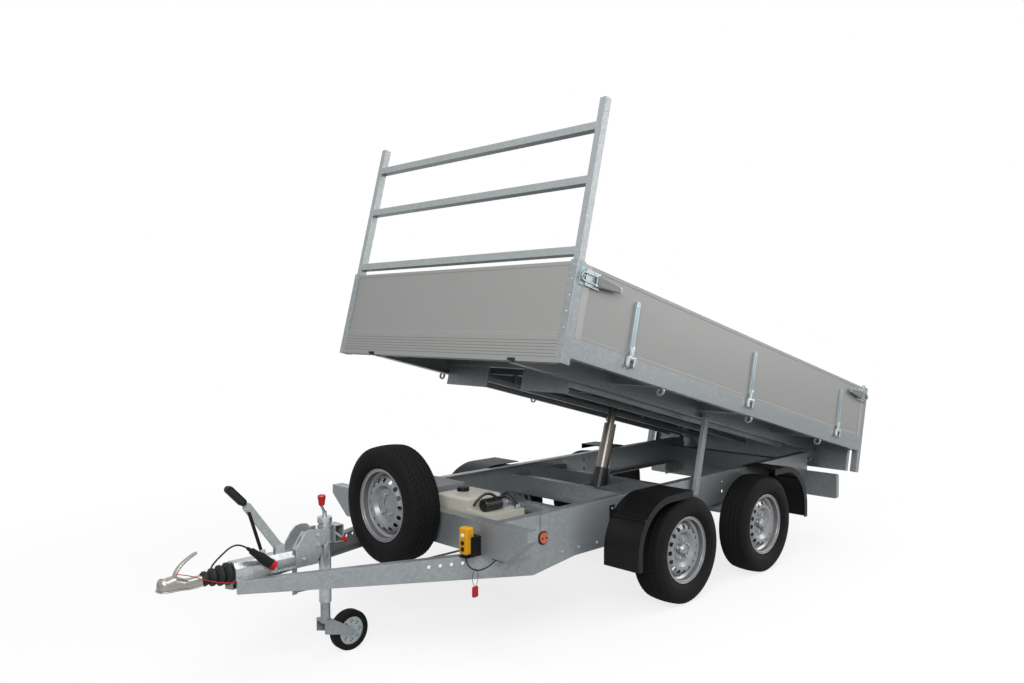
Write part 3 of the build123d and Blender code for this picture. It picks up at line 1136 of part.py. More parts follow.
# Dropsides with their hinge straps and over-centre latches: a lever and a bail that holds the keeper's pin
STRAP_HALF_W = 12.0
STRAP_T = 8.0
STRAP_TOP = 412.0
LEAF_H = 34.0
LEAF_T = 6.5
BAIL_LEN = 118.0
BAIL_R = (17.0, 24.0)
BAIL_T = 6.0
BAIL_FROM_PIN = LATCH_PIN_R + 4.0
LATCH_BASE = (24.0, 130.0)
LATCH_BASE_HALF_H = 42.0
LATCH_BASE_T = 10.0
LATCH_LEVER = ((92.0, -30.0), (92.0, 30.0), (150.0, 26.0), (286.0, 14.0), (286.0, -12.0), (150.0, -26.0))
LATCH_LEVER_T = 9.0
for side, name in ((-1.0, "left"), (1.0, "right")):
    panel_a = (FRONT_A + POST_T + PANEL_GAP, BED_OVERHANG - POST_W - PANEL_GAP)
    face_y = BED_W / 2 - PANEL_GAP
    with BuildPart(BED) as dropside:
        with BuildSketch(on_bed(Plane.YZ.offset(panel_a[0]))):
            Polygon(*board(side * (face_y - WALL_T), side * face_y, WALL_LOW), align=None)
        extrude(amount=panel_a[1] - panel_a[0])
    write(dropside.part, f"dropside_{name}")
    outward = Plane(origin=(0, 0, 0), x_dir=(-side, 0, 0), z_dir=(0, side, 0))
    skin = face_y - BEAD_OUT
    with BuildPart(BED) as hardware:
        for a in STRAPS_A:
            with BuildSketch(on_bed(outward.offset(skin))):
                with BuildLine():
                    Line((-side * a, WALL_LOW + BEAD_H + BEAD_OUT + STRAP_HALF_W), (-side * a, STRAP_TOP))
                    offset(amount=STRAP_HALF_W, side=Side.BOTH)
                make_face()
            extrude(amount=BEAD_OUT + STRAP_T)
            slab((a - STRAP_HALF_W, a + STRAP_HALF_W),
                 (side * (SIDE_HINGE_Y - KNUCKLE_R + 1.0), side * (face_y + STRAP_T + LEAF_T)),
                 (SIDE_HINGE_W, SIDE_HINGE_W + LEAF_H + 2 * STRAP_HALF_W))
            with Locations(Location((a, side * SIDE_HINGE_Y, SIDE_HINGE_W), (0, 90, 0))):
                Cylinder(KNUCKLE_R, KNUCKLE_LEN)
            with Locations(Location((a, side * SIDE_HINGE_Y, SIDE_HINGE_W), (0, 90, 0))):
                Cylinder(KNUCKLE_PIN_R + SEAT_GAP, 2 * KNUCKLE_LEN, mode=Mode.SUBTRACT)
        for pin, way in LATCHES:
            slab((pin + way * LATCH_BASE[0], pin + way * LATCH_BASE[1]),
                 (side * skin, side * (face_y + LATCH_BASE_T)),
                 (LATCH_W - LATCH_BASE_HALF_H, LATCH_W + LATCH_BASE_HALF_H))
            bail_x = (-side * (pin + way * BAIL_FROM_PIN), -side * (pin + way * BAIL_LEN))
            with BuildSketch(on_bed(outward.offset(face_y + LATCH_BASE_T))):
                with BuildLine():
                    Line((bail_x[0], LATCH_W), (bail_x[1], LATCH_W))
                    offset(amount=BAIL_R[1], side=Side.BOTH)
                make_face()
                with BuildLine():
                    Line((bail_x[0], LATCH_W), (bail_x[1], LATCH_W))
                    offset(amount=BAIL_R[0], side=Side.BOTH)
                make_face(mode=Mode.SUBTRACT)
            extrude(amount=BAIL_T)
            with BuildSketch(on_bed(outward.offset(face_y + LATCH_BASE_T + BAIL_T))):
                Polygon(*[(-side * (pin + way * along), LATCH_W + up) for along, up in LATCH_LEVER],
                        align=None)
            extrude(amount=LATCH_LEVER_T)
    write(hardware.part, f"dropside_{name}_hardware")

# Telescopic tipping cylinder: barrel on its trunnion, then each stage out of the one before
EYE = BED.from_local_coords((EYE_A, 0, EYE_W))
CYLINDER_LEAN = degrees(atan2(EYE.X - TRUNNION_X, EYE.Z - TRUNNION_Z))
CYLINDER = Plane(
    origin=(TRUNNION_X, 0, TRUNNION_Z),
    x_dir=(cos(radians(CYLINDER_LEAN)), 0, -sin(radians(CYLINDER_LEAN))),
    z_dir=(sin(radians(CYLINDER_LEAN)), 0, cos(radians(CYLINDER_LEAN))),
)
EYE_UP = hypot(EYE.X - TRUNNION_X, EYE.Z - TRUNNION_Z)
with BuildPart(CYLINDER) as cylinder_barrel:
    with Locations((0, 0, -BARREL_BELOW)):
        Cylinder(BARREL_R, BARREL_BELOW + BARREL_ABOVE, align=UPRIGHT)
    with Locations((0, 0, -BARREL_BELOW + 15.0)):
        Cylinder(STAGE_R[0] + RUN_GAP, BARREL_BELOW + BARREL_ABOVE, align=UPRIGHT, mode=Mode.SUBTRACT)
    for turn in (90, -90):
        with Locations(Location((0, 0, 0), (turn, 0, 0))):
            with Locations((0, 0, BARREL_R - 4.0)):
                Cylinder(TRUNNION_R, CRADLE_Y + CRADLE_T - BARREL_R + 8.0, align=UPRIGHT)
write(cylinder_barrel.part, "cylinder_barrel")
for stage, radius in enumerate(STAGE_R):
    top = BARREL_ABOVE + (stage + 1) * (STAGE_STEP + STAGE_OUT)
    last = stage == len(STAGE_R) - 1
    with BuildPart(CYLINDER) as cylinder_stage:
        with Locations((0, 0, top - STAGE_LEN)):
            Cylinder(radius, STAGE_LEN, align=UPRIGHT)
            if not last:
                Cylinder(STAGE_R[stage] - STAGE_WALL, STAGE_LEN - 12.0, align=UPRIGHT, mode=Mode.SUBTRACT)
                Cylinder(STAGE_R[stage + 1] + RUN_GAP, STAGE_LEN, align=UPRIGHT, mode=Mode.SUBTRACT)
        if last:
            with Locations(Location((0, 0, EYE_UP), (90, 0, 0))):
                Cylinder(EYE_R, 2 * EYE_PLATE_Y[0] - 2 * RUN_GAP)
    write(cylinder_stage.part, "cylinder_rod" if last else f"cylinder_stage_{stage + 1}")

# Safety prop, a channel that hangs from the bed on a pivot
PROP_SHEET = 3.0
PROP_ABOVE = 20.0
with BuildPart(BED) as safety_prop:
    prop_a = (PROP_A - PROP_SECTION[0] / 2, PROP_A + PROP_SECTION[0] / 2)
    prop_y = (PROP_Y - PROP_SECTION[1] / 2, PROP_Y + PROP_SECTION[1] / 2)
    slab(prop_a, prop_y, (PROP_W - PROP_LEN, PROP_W + PROP_ABOVE))
    slab((prop_a[0] + PROP_SHEET, prop_a[1] - PROP_SHEET), (prop_y[0] + PROP_SHEET, prop_y[1]),
         (PROP_W - PROP_LEN, PROP_W + PROP_ABOVE), mode=Mode.SUBTRACT)
    with Locations(Location((PROP_A, PROP_Y, PROP_W), (90, 0, 0))):
        Cylinder(PROP_PIN_R + SEAT_GAP, 2 * PROP_SECTION[1], mode=Mode.SUBTRACT)
write(safety_prop.part, "safety_prop")

# Cords: diameter and points along each, as station, Y and Z
PLUG_CABLE_D = 8.0
PLUG_CABLE = (
    PLUG_TAIL,
    (-2388.0, -48.0, 654.0),
    (-2427.0, -36.0, 647.0),
    (-2456.0, -12.0, 612.0),
    (-2474.0, 20.0, 578.0),
    (-2480.0, 56.0, 540.0),
    (-2474.0, 70.0, 498.0),
    (-2446.0, 58.0, 466.0),
    (DRAWBAR_S - SEAT_GAP, 40.0, 459.0),
)
BREAKAWAY_D = 4.0
BREAKAWAY = (
    (-2660.0, -HANDLE_HALF_W - SEAT_GAP, 568.0),
    (-2648.0, -32.0, 566.0),
    (-2618.0, -38.0, 558.0),
    (-2571.0, -43.0, 536.0),
    (-2520.0, -55.0, 513.0),
    (-2464.0, -62.0, 497.0),
    (DRAWBAR_S - SEAT_GAP, -51.0, 484.0),
)
REMOTE_CABLE_D = 7.0
REMOTE_CABLE = (
    (-1425.0, -486.0, SHELF_LOW),
    (-1424.0, -490.0, 464.0),
    (-1414.0, -512.0, 438.0),
    (-1396.0, -546.0, 430.0),
    (-1374.0, -582.0, 448.0),
    (-1350.0, -606.0, 472.0),
    (-1322.0, -614.0, 498.0),
)
LANYARD_D = 2.5
LANYARD_Y = -533.0
TAG_S = (-1423.0, -1387.0)
TAG_Z = (300.0, 353.0)
TAG_T = 10.0
TAG_R = 5.0
LANYARD = (
    (-1400.0, LANYARD_Y, TAG_Z[1]),
    (-1386.0, LANYARD_Y, 378.0),
    (-1384.0, LANYARD_Y, 412.0),
    (-1395.0, LANYARD_Y, 439.0),
    (-1411.0, LANYARD_Y, 439.0),
    (-1424.0, LANYARD_Y, 412.0),
    (-1424.0, LANYARD_Y, 378.0),
    (-1409.0, LANYARD_Y, TAG_Z[1]),
)
FILLET_SHARE = 0.45


def cord(name, stations, diameter):
    """Round cord along straight runs with rounded corners; prints its bends, length and volume."""
    points = [Vector(st(s), y, z) for s, y, z in stations]
    runs = [after - before for before, after in zip(points, points[1:])]
    radii = [
        FILLET_SHARE * min(before.length, after.length) / tan(radians(before.get_angle(after)) / 2)
        for before, after in zip(runs, runs[1:])
    ]
    with BuildPart() as bent:
        with BuildLine() as route:
            FilletPolyline(*points, radius=radii)
        line = route.wires()[0]
        with BuildSketch(Plane(origin=line @ 0, z_dir=line % 0)):
            Circle(diameter / 2)
        sweep(path=line)
    share = bent.part.volume / (pi * diameter ** 2 / 4 * line.length)
    print(name, "bends", [round(r) for r in radii], "length", round(line.length), "share", round(share, 3))
    return bent.part


for name, stations, diameter in (
    ("plug_cable", PLUG_CABLE, PLUG_CABLE_D),
    ("breakaway_cable", BREAKAWAY, BREAKAWAY_D),
    ("remote_cable", REMOTE_CABLE, REMOTE_CABLE_D),
):
    write(cord(name, stations, diameter), name)
with BuildPart() as remote_tag:
    slab((st(TAG_S[0]), st(TAG_S[1])), (LANYARD_Y - TAG_T / 2, LANYARD_Y + TAG_T / 2), TAG_Z)
    fillet(remote_tag.edges().filter_by(Axis.Y), TAG_R)
    add(cord("remote_tag", LANYARD, LANYARD_D))
write(remote_tag.part, "remote_tag")
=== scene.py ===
"""Looks of a galvanised tandem-axle tipper trailer with its bed part raised.

Metres. +X runs to the tail, +Y to the right-hand side and +Z up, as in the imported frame.
"""

import json
import logging
from dataclasses import dataclass
from enum import Enum
from functools import cache
from itertools import product

import bmesh
import bpy
import numpy as np
from mathutils import Matrix, Vector


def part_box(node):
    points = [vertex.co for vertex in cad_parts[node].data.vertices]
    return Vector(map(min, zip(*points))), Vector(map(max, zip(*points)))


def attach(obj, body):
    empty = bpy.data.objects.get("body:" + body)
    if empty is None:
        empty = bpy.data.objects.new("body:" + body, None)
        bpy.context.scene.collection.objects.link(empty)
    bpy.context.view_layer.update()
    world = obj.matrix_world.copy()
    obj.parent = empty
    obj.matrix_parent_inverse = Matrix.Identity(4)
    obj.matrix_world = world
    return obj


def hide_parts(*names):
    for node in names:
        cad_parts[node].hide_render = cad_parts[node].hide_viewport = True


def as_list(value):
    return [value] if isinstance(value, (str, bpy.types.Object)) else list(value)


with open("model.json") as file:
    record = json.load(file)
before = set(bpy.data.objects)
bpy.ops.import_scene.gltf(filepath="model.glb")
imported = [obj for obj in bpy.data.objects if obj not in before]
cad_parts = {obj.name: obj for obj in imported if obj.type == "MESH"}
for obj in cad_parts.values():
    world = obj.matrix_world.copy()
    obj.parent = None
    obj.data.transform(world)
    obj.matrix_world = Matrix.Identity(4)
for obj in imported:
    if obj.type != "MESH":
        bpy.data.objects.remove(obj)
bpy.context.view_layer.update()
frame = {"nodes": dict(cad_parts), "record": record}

LOG = logging.getLogger("tipper")
MM = 0.001
TURN = 2 * np.pi
NEXT_TO_0, MERGE_M = 1e-9, 1e-6  # A sine that counts as 0, and how near two points are merged
BLUNT = 14  # Power that closes a bar's blunt ends
FRONT, TAIL, UP = (-1.0, 0.0, 0.0), (1.0, 0.0, 0.0), (0.0, 0.0, 1.0)
SIDES = {"left": -1, "right": 1}  # Way of each side along Y

Array = np.ndarray
Tree = bpy.types.NodeTree
Socket = bpy.types.NodeSocket


def linear(code: str) -> tuple[float, float, float, float]:
    """Turns an sRGB hex colour into linear values.

    Args:
        code: Six hex digits.

    Returns:
        Red, green, blue and alpha, linear.
    """
    parts = np.array([int(code[i:i + 2], 16) for i in (0, 2, 4)]) / 255.0
    low = parts / 12.92
    high = ((parts + 0.055) / 1.055) ** 2.4
    return (*np.where(parts <= 0.04045, low, high).tolist(), 1.0)


def add(tree: Tree, kind: str, links: dict | None = None, values: dict | None = None,
        **settings: object) -> bpy.types.Node:
    """Adds one node to a tree.

    Args:
        tree: Tree that gets the node.
        kind: Blender's type name of the node.
        links: Input name or number to the output socket that feeds it.
        values: Input name or number to a constant.
        settings: Properties of the node itself.

    Returns:
        The new node.
    """
    node = tree.nodes.new(kind)
    for name, value in settings.items():
        setattr(node, name, value)
    for name, value in (values or {}).items():
        node.inputs[name].default_value = value
    for name, source in (links or {}).items():
        tree.links.new(source, node.inputs[name])
    return node


def cleared(owner: bpy.types.ID) -> Tree:
    """Gives a material or world an empty node tree.

    Args:
        owner: The material or world.

    Returns:
        The tree.
    """
    owner.use_nodes = True
    owner.node_tree.nodes.clear()
    return owner.node_tree


class Pattern(Enum):
    """How a surface was made, which sets what the eye finds on it."""

    SPANGLE = "zinc crystals of a hot dip, in flat patches with soft edges"
    DRAWN = "fine lines along an extrusion"
    MOULDED = "fine pits of a mould"
    FLAKE = "metal flakes in paint"
    GROUND = "rings of a grinding wheel"


@dataclass(frozen=True)
class Finish:
    """One surface finish.

    Attributes:
        name: Common name of the material and its surface.
        slot: Slot of the record that the finish belongs to.
        colour: Main colour, sRGB hex.
        second: Colour that the pattern mixes in, sRGB hex.
        pattern: How the surface was made.
        size_mm: Real size of one patch, line, pit or flake.
        metallic: Share of metal.
        roughness: Middle roughness.
        spread: How far the pattern moves the roughness.
        relief_mm: Height of the pattern's bump.
        grime: Share of grey road dust that gathers low on the piece.
        coat: Clear coat or gloss layer.
        specular: Strength of the plain reflection; low on rubber and matt plastic.
    """

    EDGE_MM = 2.5  # Worn edges round off the light; as wide as the render needs to show them
    CLOUD = {"Scale": 4.5, "Detail": 5.0, "Roughness": 0.6}  # Broad stains of some 220 mm
    CLOUD_SHARE = 0.45
    BUMP = 0.6
    COAT_ROUGHNESS = 0.15
    DUST, DUST_TOP = "8a8680", 0.75  # Grey road dust, and the height in metres where it ends
    BENT, BENT_SCALE = 0.012, 0.7  # How far the edges of the zinc crystals wander, and how often in a crystal
    LONG = (0.02, 1.0, 1.0)  # Draws a pattern out along X

    name: str
    slot: str
    colour: str
    second: str
    pattern: Pattern
    size_mm: float
    metallic: float = 0.0
    roughness: float = 0.5
    spread: float = 0.1
    relief_mm: float = 0.05
    grime: float = 0.0
    coat: float = 0.0
    specular: float = 0.5

    @cache
    def material(self) -> bpy.types.Material:
        """Makes the node material on first use.

        Returns:
            The material, named for the finish.
        """
        material = bpy.data.materials.new(self.name)
        tree = cleared(material)
        place = add(tree, "ShaderNodeTexCoord").outputs["Object"]
        fine = self.texture(tree, place)
        cloud = add(tree, "ShaderNodeTexNoise", {"Vector": place}, self.CLOUD).outputs["Fac"]
        both = add(tree, "ShaderNodeMix", {"A": fine, "B": cloud}, {"Factor": self.CLOUD_SHARE},
                   data_type="FLOAT").outputs[0]
        colour = add(tree, "ShaderNodeMix", {"Factor": both},
                     {"A": linear(self.colour), "B": linear(self.second)}, data_type="RGBA").outputs[2]
        if self.grime:
            colour = self.dusted(tree, place, cloud, colour)
        rough = add(tree, "ShaderNodeMapRange", {"Value": both},
                    {"To Min": self.roughness - self.spread, "To Max": self.roughness + self.spread}).outputs[0]
        edge = add(tree, "ShaderNodeBevel", values={"Radius": self.EDGE_MM * MM}, samples=4).outputs[0]
        bump = add(tree, "ShaderNodeBump", {"Height": fine, "Normal": edge},
                   {"Strength": self.BUMP, "Distance": self.relief_mm * MM}).outputs[0]
        shader = add(tree, "ShaderNodeBsdfPrincipled", {"Base Color": colour, "Roughness": rough, "Normal": bump},
                     {"Metallic": self.metallic, "Coat Weight": self.coat, "Coat Roughness": self.COAT_ROUGHNESS,
                      "Specular IOR Level": self.specular})
        add(tree, "ShaderNodeOutputMaterial", {"Surface": shader.outputs[0]})
        return material

    def texture(self, tree: Tree, place: Socket) -> Socket:
        """Adds the pattern's own texture.

        Args:
            tree: Tree of the material.
            place: Object coordinates.

        Returns:
            A socket from 0 to 1.
        """
        per_metre = 1.0 / (self.size_mm * MM)
        if self.pattern is Pattern.SPANGLE:
            bent = add(tree, "ShaderNodeTexNoise", {"Vector": place},
                       {"Scale": per_metre * self.BENT_SCALE, "Detail": 2.0})
            moved = add(tree, "ShaderNodeMix", {"A": place, "B": bent.outputs["Color"]}, {"Factor": self.BENT},
                        data_type="VECTOR").outputs[1]
            cells = add(tree, "ShaderNodeTexVoronoi", {"Vector": moved}, {"Scale": per_metre, "Randomness": 1.0})
            return add(tree, "ShaderNodeSeparateColor", {"Color": cells.outputs["Color"]}).outputs[0]
        if self.pattern is Pattern.DRAWN:
            along = add(tree, "ShaderNodeMapping", {"Vector": place}, {"Scale": self.LONG})
            return add(tree, "ShaderNodeTexNoise", {"Vector": along.outputs[0]},
                       {"Scale": per_metre, "Detail": 3.0, "Roughness": 0.7}).outputs["Fac"]
        if self.pattern is Pattern.FLAKE:
            flakes = add(tree, "ShaderNodeTexVoronoi", {"Vector": place}, {"Scale": per_metre})
            return add(tree, "ShaderNodeSeparateColor", {"Color": flakes.outputs["Color"]}).outputs[1]
        if self.pattern is Pattern.GROUND:
            return add(tree, "ShaderNodeTexWave", {"Vector": place},
                       {"Scale": per_metre / 3.0, "Distortion": 1.5, "Detail": 2.0},
                       bands_direction="Z").outputs["Fac"]
        return add(tree, "ShaderNodeTexNoise", {"Vector": place},
                   {"Scale": per_metre, "Detail": 4.0, "Roughness": 0.65}).outputs["Fac"]

    def dusted(self, tree: Tree, place: Socket, cloud: Socket, colour: Socket) -> Socket:
        """Mixes grey dust in towards the ground.

        Args:
            tree: Tree of the material.
            place: Object coordinates.
            cloud: Broad noise that breaks the dust up.
            colour: Clean colour.

        Returns:
            The dusted colour.
        """
        height = add(tree, "ShaderNodeSeparateXYZ", {"Vector": place}).outputs[2]
        low = add(tree, "ShaderNodeMapRange", {"Value": height},
                  {"From Min": self.DUST_TOP, "From Max": 0.0, "To Max": self.grime}).outputs[0]
        share = add(tree, "ShaderNodeMath", {0: low, 1: cloud}, operation="MULTIPLY").outputs[0]
        return add(tree, "ShaderNodeMix", {"Factor": share, "A": colour}, {"B": linear(self.DUST)},
                   data_type="RGBA").outputs[2]


class Palette:
    """All the finishes of the trailer."""

    # Hot-dip galvanised plate: pale grey zinc in crystal patches, dull where it has oxidised
    GALVANISED = Finish("galvanised_steel", "galvanised_steel", "969b9e", "83888b", Pattern.SPANGLE, 15.0,
                        metallic=0.55, roughness=0.38, spread=0.12, relief_mm=0.02, grime=0.15)
    # Fresh galvanised tube of the rack: brighter and smoother than the chassis plate
    BRIGHT_GALVANISED = Finish("bright_galvanised_steel", "galvanised_steel", "a3a8a9", "8f9496", Pattern.SPANGLE,
                               10.0, metallic=0.55, roughness=0.38, relief_mm=0.02)
    # Galvanised pressing of the overrun and its tube: smooth and bright
    PRESSED_ZINC = Finish("smooth_galvanised_steel", "galvanised_steel", "b3b7b9", "9ca0a3", Pattern.SPANGLE, 18.0,
                          metallic=0.8, roughness=0.3, relief_mm=0.02)
    # Extruded boards with a satin anodised skin: even grey with hair-fine lines along the length
    ANODISED = Finish("anodised_aluminium", "anodised_aluminium", "929391", "8a8b89", Pattern.DRAWN, 3.0,
                      metallic=0.25, spread=0.06, relief_mm=0.01)
    # End strips of the boards: the same skin, a shade lighter
    STRIP = Finish("anodised_strip", "anodised_aluminium", "a0a19f", "979896", Pattern.DRAWN, 3.0,
                   metallic=0.3, roughness=0.44, spread=0.06, relief_mm=0.01)
    # Passivated zinc plate on pressed fittings: bright and even, on the straps faintly blue
    ZINC = Finish("zinc_plated_steel", "zinc_plated_steel", "a9b1b4", "97a0a4", Pattern.MOULDED, 9.0,
                  metallic=0.7, roughness=0.3, spread=0.08, relief_mm=0.01)
    BLUE_ZINC = Finish("blue_zinc_plated_steel", "zinc_plated_steel", "86a0a5", "778f95", Pattern.MOULDED, 9.0,
                       metallic=0.6, roughness=0.32, spread=0.08, relief_mm=0.01)
    # Yellow-passivated zinc on the pressed coupling: warm silver
    WARM_ZINC = Finish("yellow_zinc_plated_steel", "zinc_plated_steel", "a2a29a", "84847c", Pattern.MOULDED, 14.0,
                       metallic=0.8, roughness=0.26, spread=0.08, relief_mm=0.02)
    # Zinc-lamella coat on the latch levers: dull mid grey
    LAMELLA = Finish("zinc_lamella_coat", "zinc_plated_steel", "6f726f", "636663", Pattern.MOULDED, 4.0,
                     metallic=0.5, roughness=0.42, spread=0.06, relief_mm=0.03)
    # Cured tyre rubber: near black, matt, with a breath of dust
    TYRE = Finish("tyre_rubber", "tyre_rubber", "0b0b0b", "121212", Pattern.MOULDED, 1.2,
                  roughness=0.75, spread=0.08, relief_mm=0.12, grime=0.04, specular=0.12)
    # Silver wheel paint over pressed steel: fine flakes under a satin clear coat
    SILVER = Finish("silver_wheel_paint", "silver_paint", "8f9093", "7f8083", Pattern.FLAKE, 1.2,
                    metallic=0.65, roughness=0.34, spread=0.06, relief_mm=0.0, grime=0.08, coat=0.2)
    # Moulded polypropylene: black with a fine pitted mould texture
    BLACK_PLASTIC = Finish("black_polypropylene", "black_plastic", "0d0d0e", "141415", Pattern.MOULDED, 1.5,
                           roughness=0.46, spread=0.08, relief_mm=0.06, grime=0.03, specular=0.16)
    # Rubber boots and cable sheaths: matt black
    BLACK_RUBBER = Finish("black_rubber", "black_rubber", "131313", "1c1b1a", Pattern.MOULDED, 2.0,
                          roughness=0.6, spread=0.08, relief_mm=0.06, specular=0.25)
    # Satin black paint on a steel tube
    BLACK_PAINT = Finish("satin_black_paint", "black_paint", "131415", "1d1e1f", Pattern.MOULDED, 2.5,
                         roughness=0.36, spread=0.06, relief_mm=0.02, coat=0.1, specular=0.3)
    # Ground and hard-chromed stages: bright with faint grinding rings
    CHROME = Finish("hard_chrome", "ground_chrome", "726e69", "625e5a", Pattern.GROUND, 2.0,
                    metallic=1.0, roughness=0.24, spread=0.05, relief_mm=0.005)
    # Blow-moulded polyethylene tank: milky cream
    CREAM = Finish("cream_polyethylene", "cream_plastic", "bdbbb0", "aeaca0", Pattern.MOULDED, 30.0,
                   roughness=0.42, spread=0.05, specular=0.35)
    # Moulded ABS in its colours: even, faintly pitted, half gloss; the white is a painted highlight on a yellow
    # button
    GREY_PLASTIC = Finish("grey_abs", "grey_plastic", "7d8185", "73777b", Pattern.MOULDED, 2.0,
                          spread=0.05, relief_mm=0.03, specular=0.35)
    YELLOW = Finish("yellow_abs", "yellow_plastic", "dc9e10", "cb900c", Pattern.MOULDED, 2.0,
                    roughness=0.4, spread=0.05, relief_mm=0.02, specular=0.35)
    RED = Finish("red_plastic", "red_sheath", "b80f16", "a30c12", Pattern.MOULDED, 2.0,
                 roughness=0.36, spread=0.05, relief_mm=0.02, specular=0.35)
    # Painted highlight: white in place of the shine on the hand control's yellow top button
    WHITE = Finish("painted_highlight_white", "grey_plastic", "dcdcd8", "cfcfca", Pattern.MOULDED, 2.0,
                   roughness=0.38, spread=0.05, relief_mm=0.02)
    # Moulded acrylic lenses: clear colour with a hard gloss
    TAIL_RED = Finish("red_lens", "lamp_plastic", "a00e0e", "880b0b", Pattern.MOULDED, 3.0,
                      roughness=0.16, spread=0.03, relief_mm=0.02, coat=0.4)
    CLEAR = Finish("clear_lens", "lamp_plastic", "d0d2d3", "bfc2c4", Pattern.MOULDED, 3.0,
                   roughness=0.16, spread=0.03, relief_mm=0.02, coat=0.4)
    AMBER = Finish("amber_lens", "lamp_plastic", "d0560f", "ba4708", Pattern.MOULDED, 3.0,
                   roughness=0.18, spread=0.03, relief_mm=0.02, coat=0.4)


# What the CAD nodes of each slot wear, and the nodes that wear something else
SLOT_FINISH: dict[str, Finish] = {finish.slot: finish for finish in (
    Palette.ANODISED, Palette.GALVANISED, Palette.ZINC, Palette.TYRE, Palette.SILVER, Palette.BLACK_PLASTIC,
    Palette.BLACK_RUBBER, Palette.BLACK_PAINT, Palette.CHROME, Palette.CREAM, Palette.GREY_PLASTIC, Palette.YELLOW,
    Palette.AMBER, Palette.RED,
)}
OWN_FINISH: dict[str, Finish] = {
    "ladder_rack": Palette.BRIGHT_GALVANISED,
    "overrun_housing": Palette.PRESSED_ZINC,
    "jockey_tube": Palette.PRESSED_ZINC,
    "handbrake_lever": Palette.BRIGHT_GALVANISED,
}


def angles(count: int) -> Array:
    """So many even angles once round, from 0."""
    return np.linspace(0.0, TURN, count, endpoint=False)


def grid_quads(rows: int, cols: int, wrap_rows: bool, wrap_cols: bool) -> Array:
    """Corner numbers of the quads of a grid of points.

    Each quad joins point (i, j) with (i+1, j), (i+1, j+1) and (i, j+1); a wrapped way joins its last
    line to its first.

    Args:
        rows: Points along the first way.
        cols: Points along the second way.
        wrap_rows: Whether the first way is closed.
        wrap_cols: Whether the second way is closed.

    Returns:
        An array of four numbers a quad.
    """
    i = np.arange(rows if wrap_rows else rows - 1)[:, None]
    j = np.arange(cols if wrap_cols else cols - 1)[None, :]
    i2, j2 = (i + 1) % rows, (j + 1) % cols
    return np.stack([i * cols + j, i2 * cols + j, i2 * cols + j2, i * cols + j2], axis=-1).reshape(-1, 4)


def repeated(quads: Array, count: int) -> Array:
    """The quads of one grid, carried on over so many grids that follow each other."""
    step = (quads.max() + 1) * np.arange(count)[:, None, None]
    return (quads[None] + step).reshape(-1, 4)


def power(wave: Array, edge: float) -> Array:
    """Raises a sine or cosine to a power and keeps its sign; a value next to 0 becomes 0."""
    size = np.abs(wave)
    return np.sign(wave) * np.where(size < NEXT_TO_0, 0.0, size) ** edge


def closing(t: Array) -> Array:
    """Size of a bar with blunt ends at share t: sqrt(1 - (2 t - 1) ^ BLUNT)."""
    return np.sqrt(np.clip(1.0 - (2.0 * t - 1.0) ** BLUNT, 0.0, 1.0))


def add_object(name: str, data: bpy.types.ID) -> bpy.types.Object:
    """Links a new object at the origin.

    Args:
        name: Its name.
        data: Its mesh, curve, lamp or camera.

    Returns:
        The object.
    """
    obj = bpy.data.objects.new(name, data)
    bpy.context.scene.collection.objects.link(obj)
    return obj


def put_mesh(name: str, points: Array, quads: Array, smooth: bool = True, shell: bool = True) -> bpy.types.Object:
    """Puts points and quads into a new object at the origin, with its seams and poles merged.

    Args:
        name: Name of the piece.
        points: Points in metres, three numbers each.
        quads: Corner numbers, four a quad.
        smooth: Whether the faces are shaded smooth.
        shell: Whether the surface is closed, so that its faces can be turned outwards.

    Returns:
        The object.
    """
    mesh = bpy.data.meshes.new(name)
    mesh.from_pydata(points.reshape(-1, 3).tolist(), [], quads.tolist())
    if shell:
        merged = bmesh.new()
        merged.from_mesh(mesh)
        bmesh.ops.remove_doubles(merged, verts=merged.verts, dist=MERGE_M)
        bmesh.ops.recalc_face_normals(merged, faces=merged.faces)
        merged.to_mesh(mesh)
        merged.free()
    mesh.validate()
    mesh.polygons.foreach_set("use_smooth", np.full(len(mesh.polygons), smooth))
    return add_object(name, mesh)


def dressed(obj: bpy.types.Object, body: str, finish: Finish, node: str | None = None) -> bpy.types.Object:
    """Gives a piece its finish and body, and hides the CAD node that it stands for.

    Args:
        obj: The piece.
        body: Body that it rides on.
        finish: Its finish.
        node: CAD node that it stands for, or none.

    Returns:
        The same piece.
    """
    obj.data.materials.append(finish.material())
    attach(obj, body)
    if node:
        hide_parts(node)
    return obj


def arc(first: tuple, middle: tuple, last: tuple, count: int) -> Array:
    """Points on the circle through three points of a plane.

    The circle's centre is where the upright bisectors of the two chords cross; the angle then runs
    evenly from the first point over the middle one to the last.

    Args:
        first: Start.
        middle: A point on the way.
        last: End.
        count: Number of points.

    Returns:
        An array of count points.
    """
    a, b, c = (np.array(p, float) for p in (first, middle, last))
    lines = 2 * np.array([b - a, c - a])
    centre = np.linalg.solve(lines, np.array([b @ b - a @ a, c @ c - a @ a]))
    angle = np.unwrap([np.arctan2(*(p - centre)[::-1]) for p in (a, b, c)])
    turn = np.linspace(angle[0], angle[2], count)
    return centre + np.hypot(*(a - centre)) * np.stack([np.cos(turn), np.sin(turn)], axis=1)


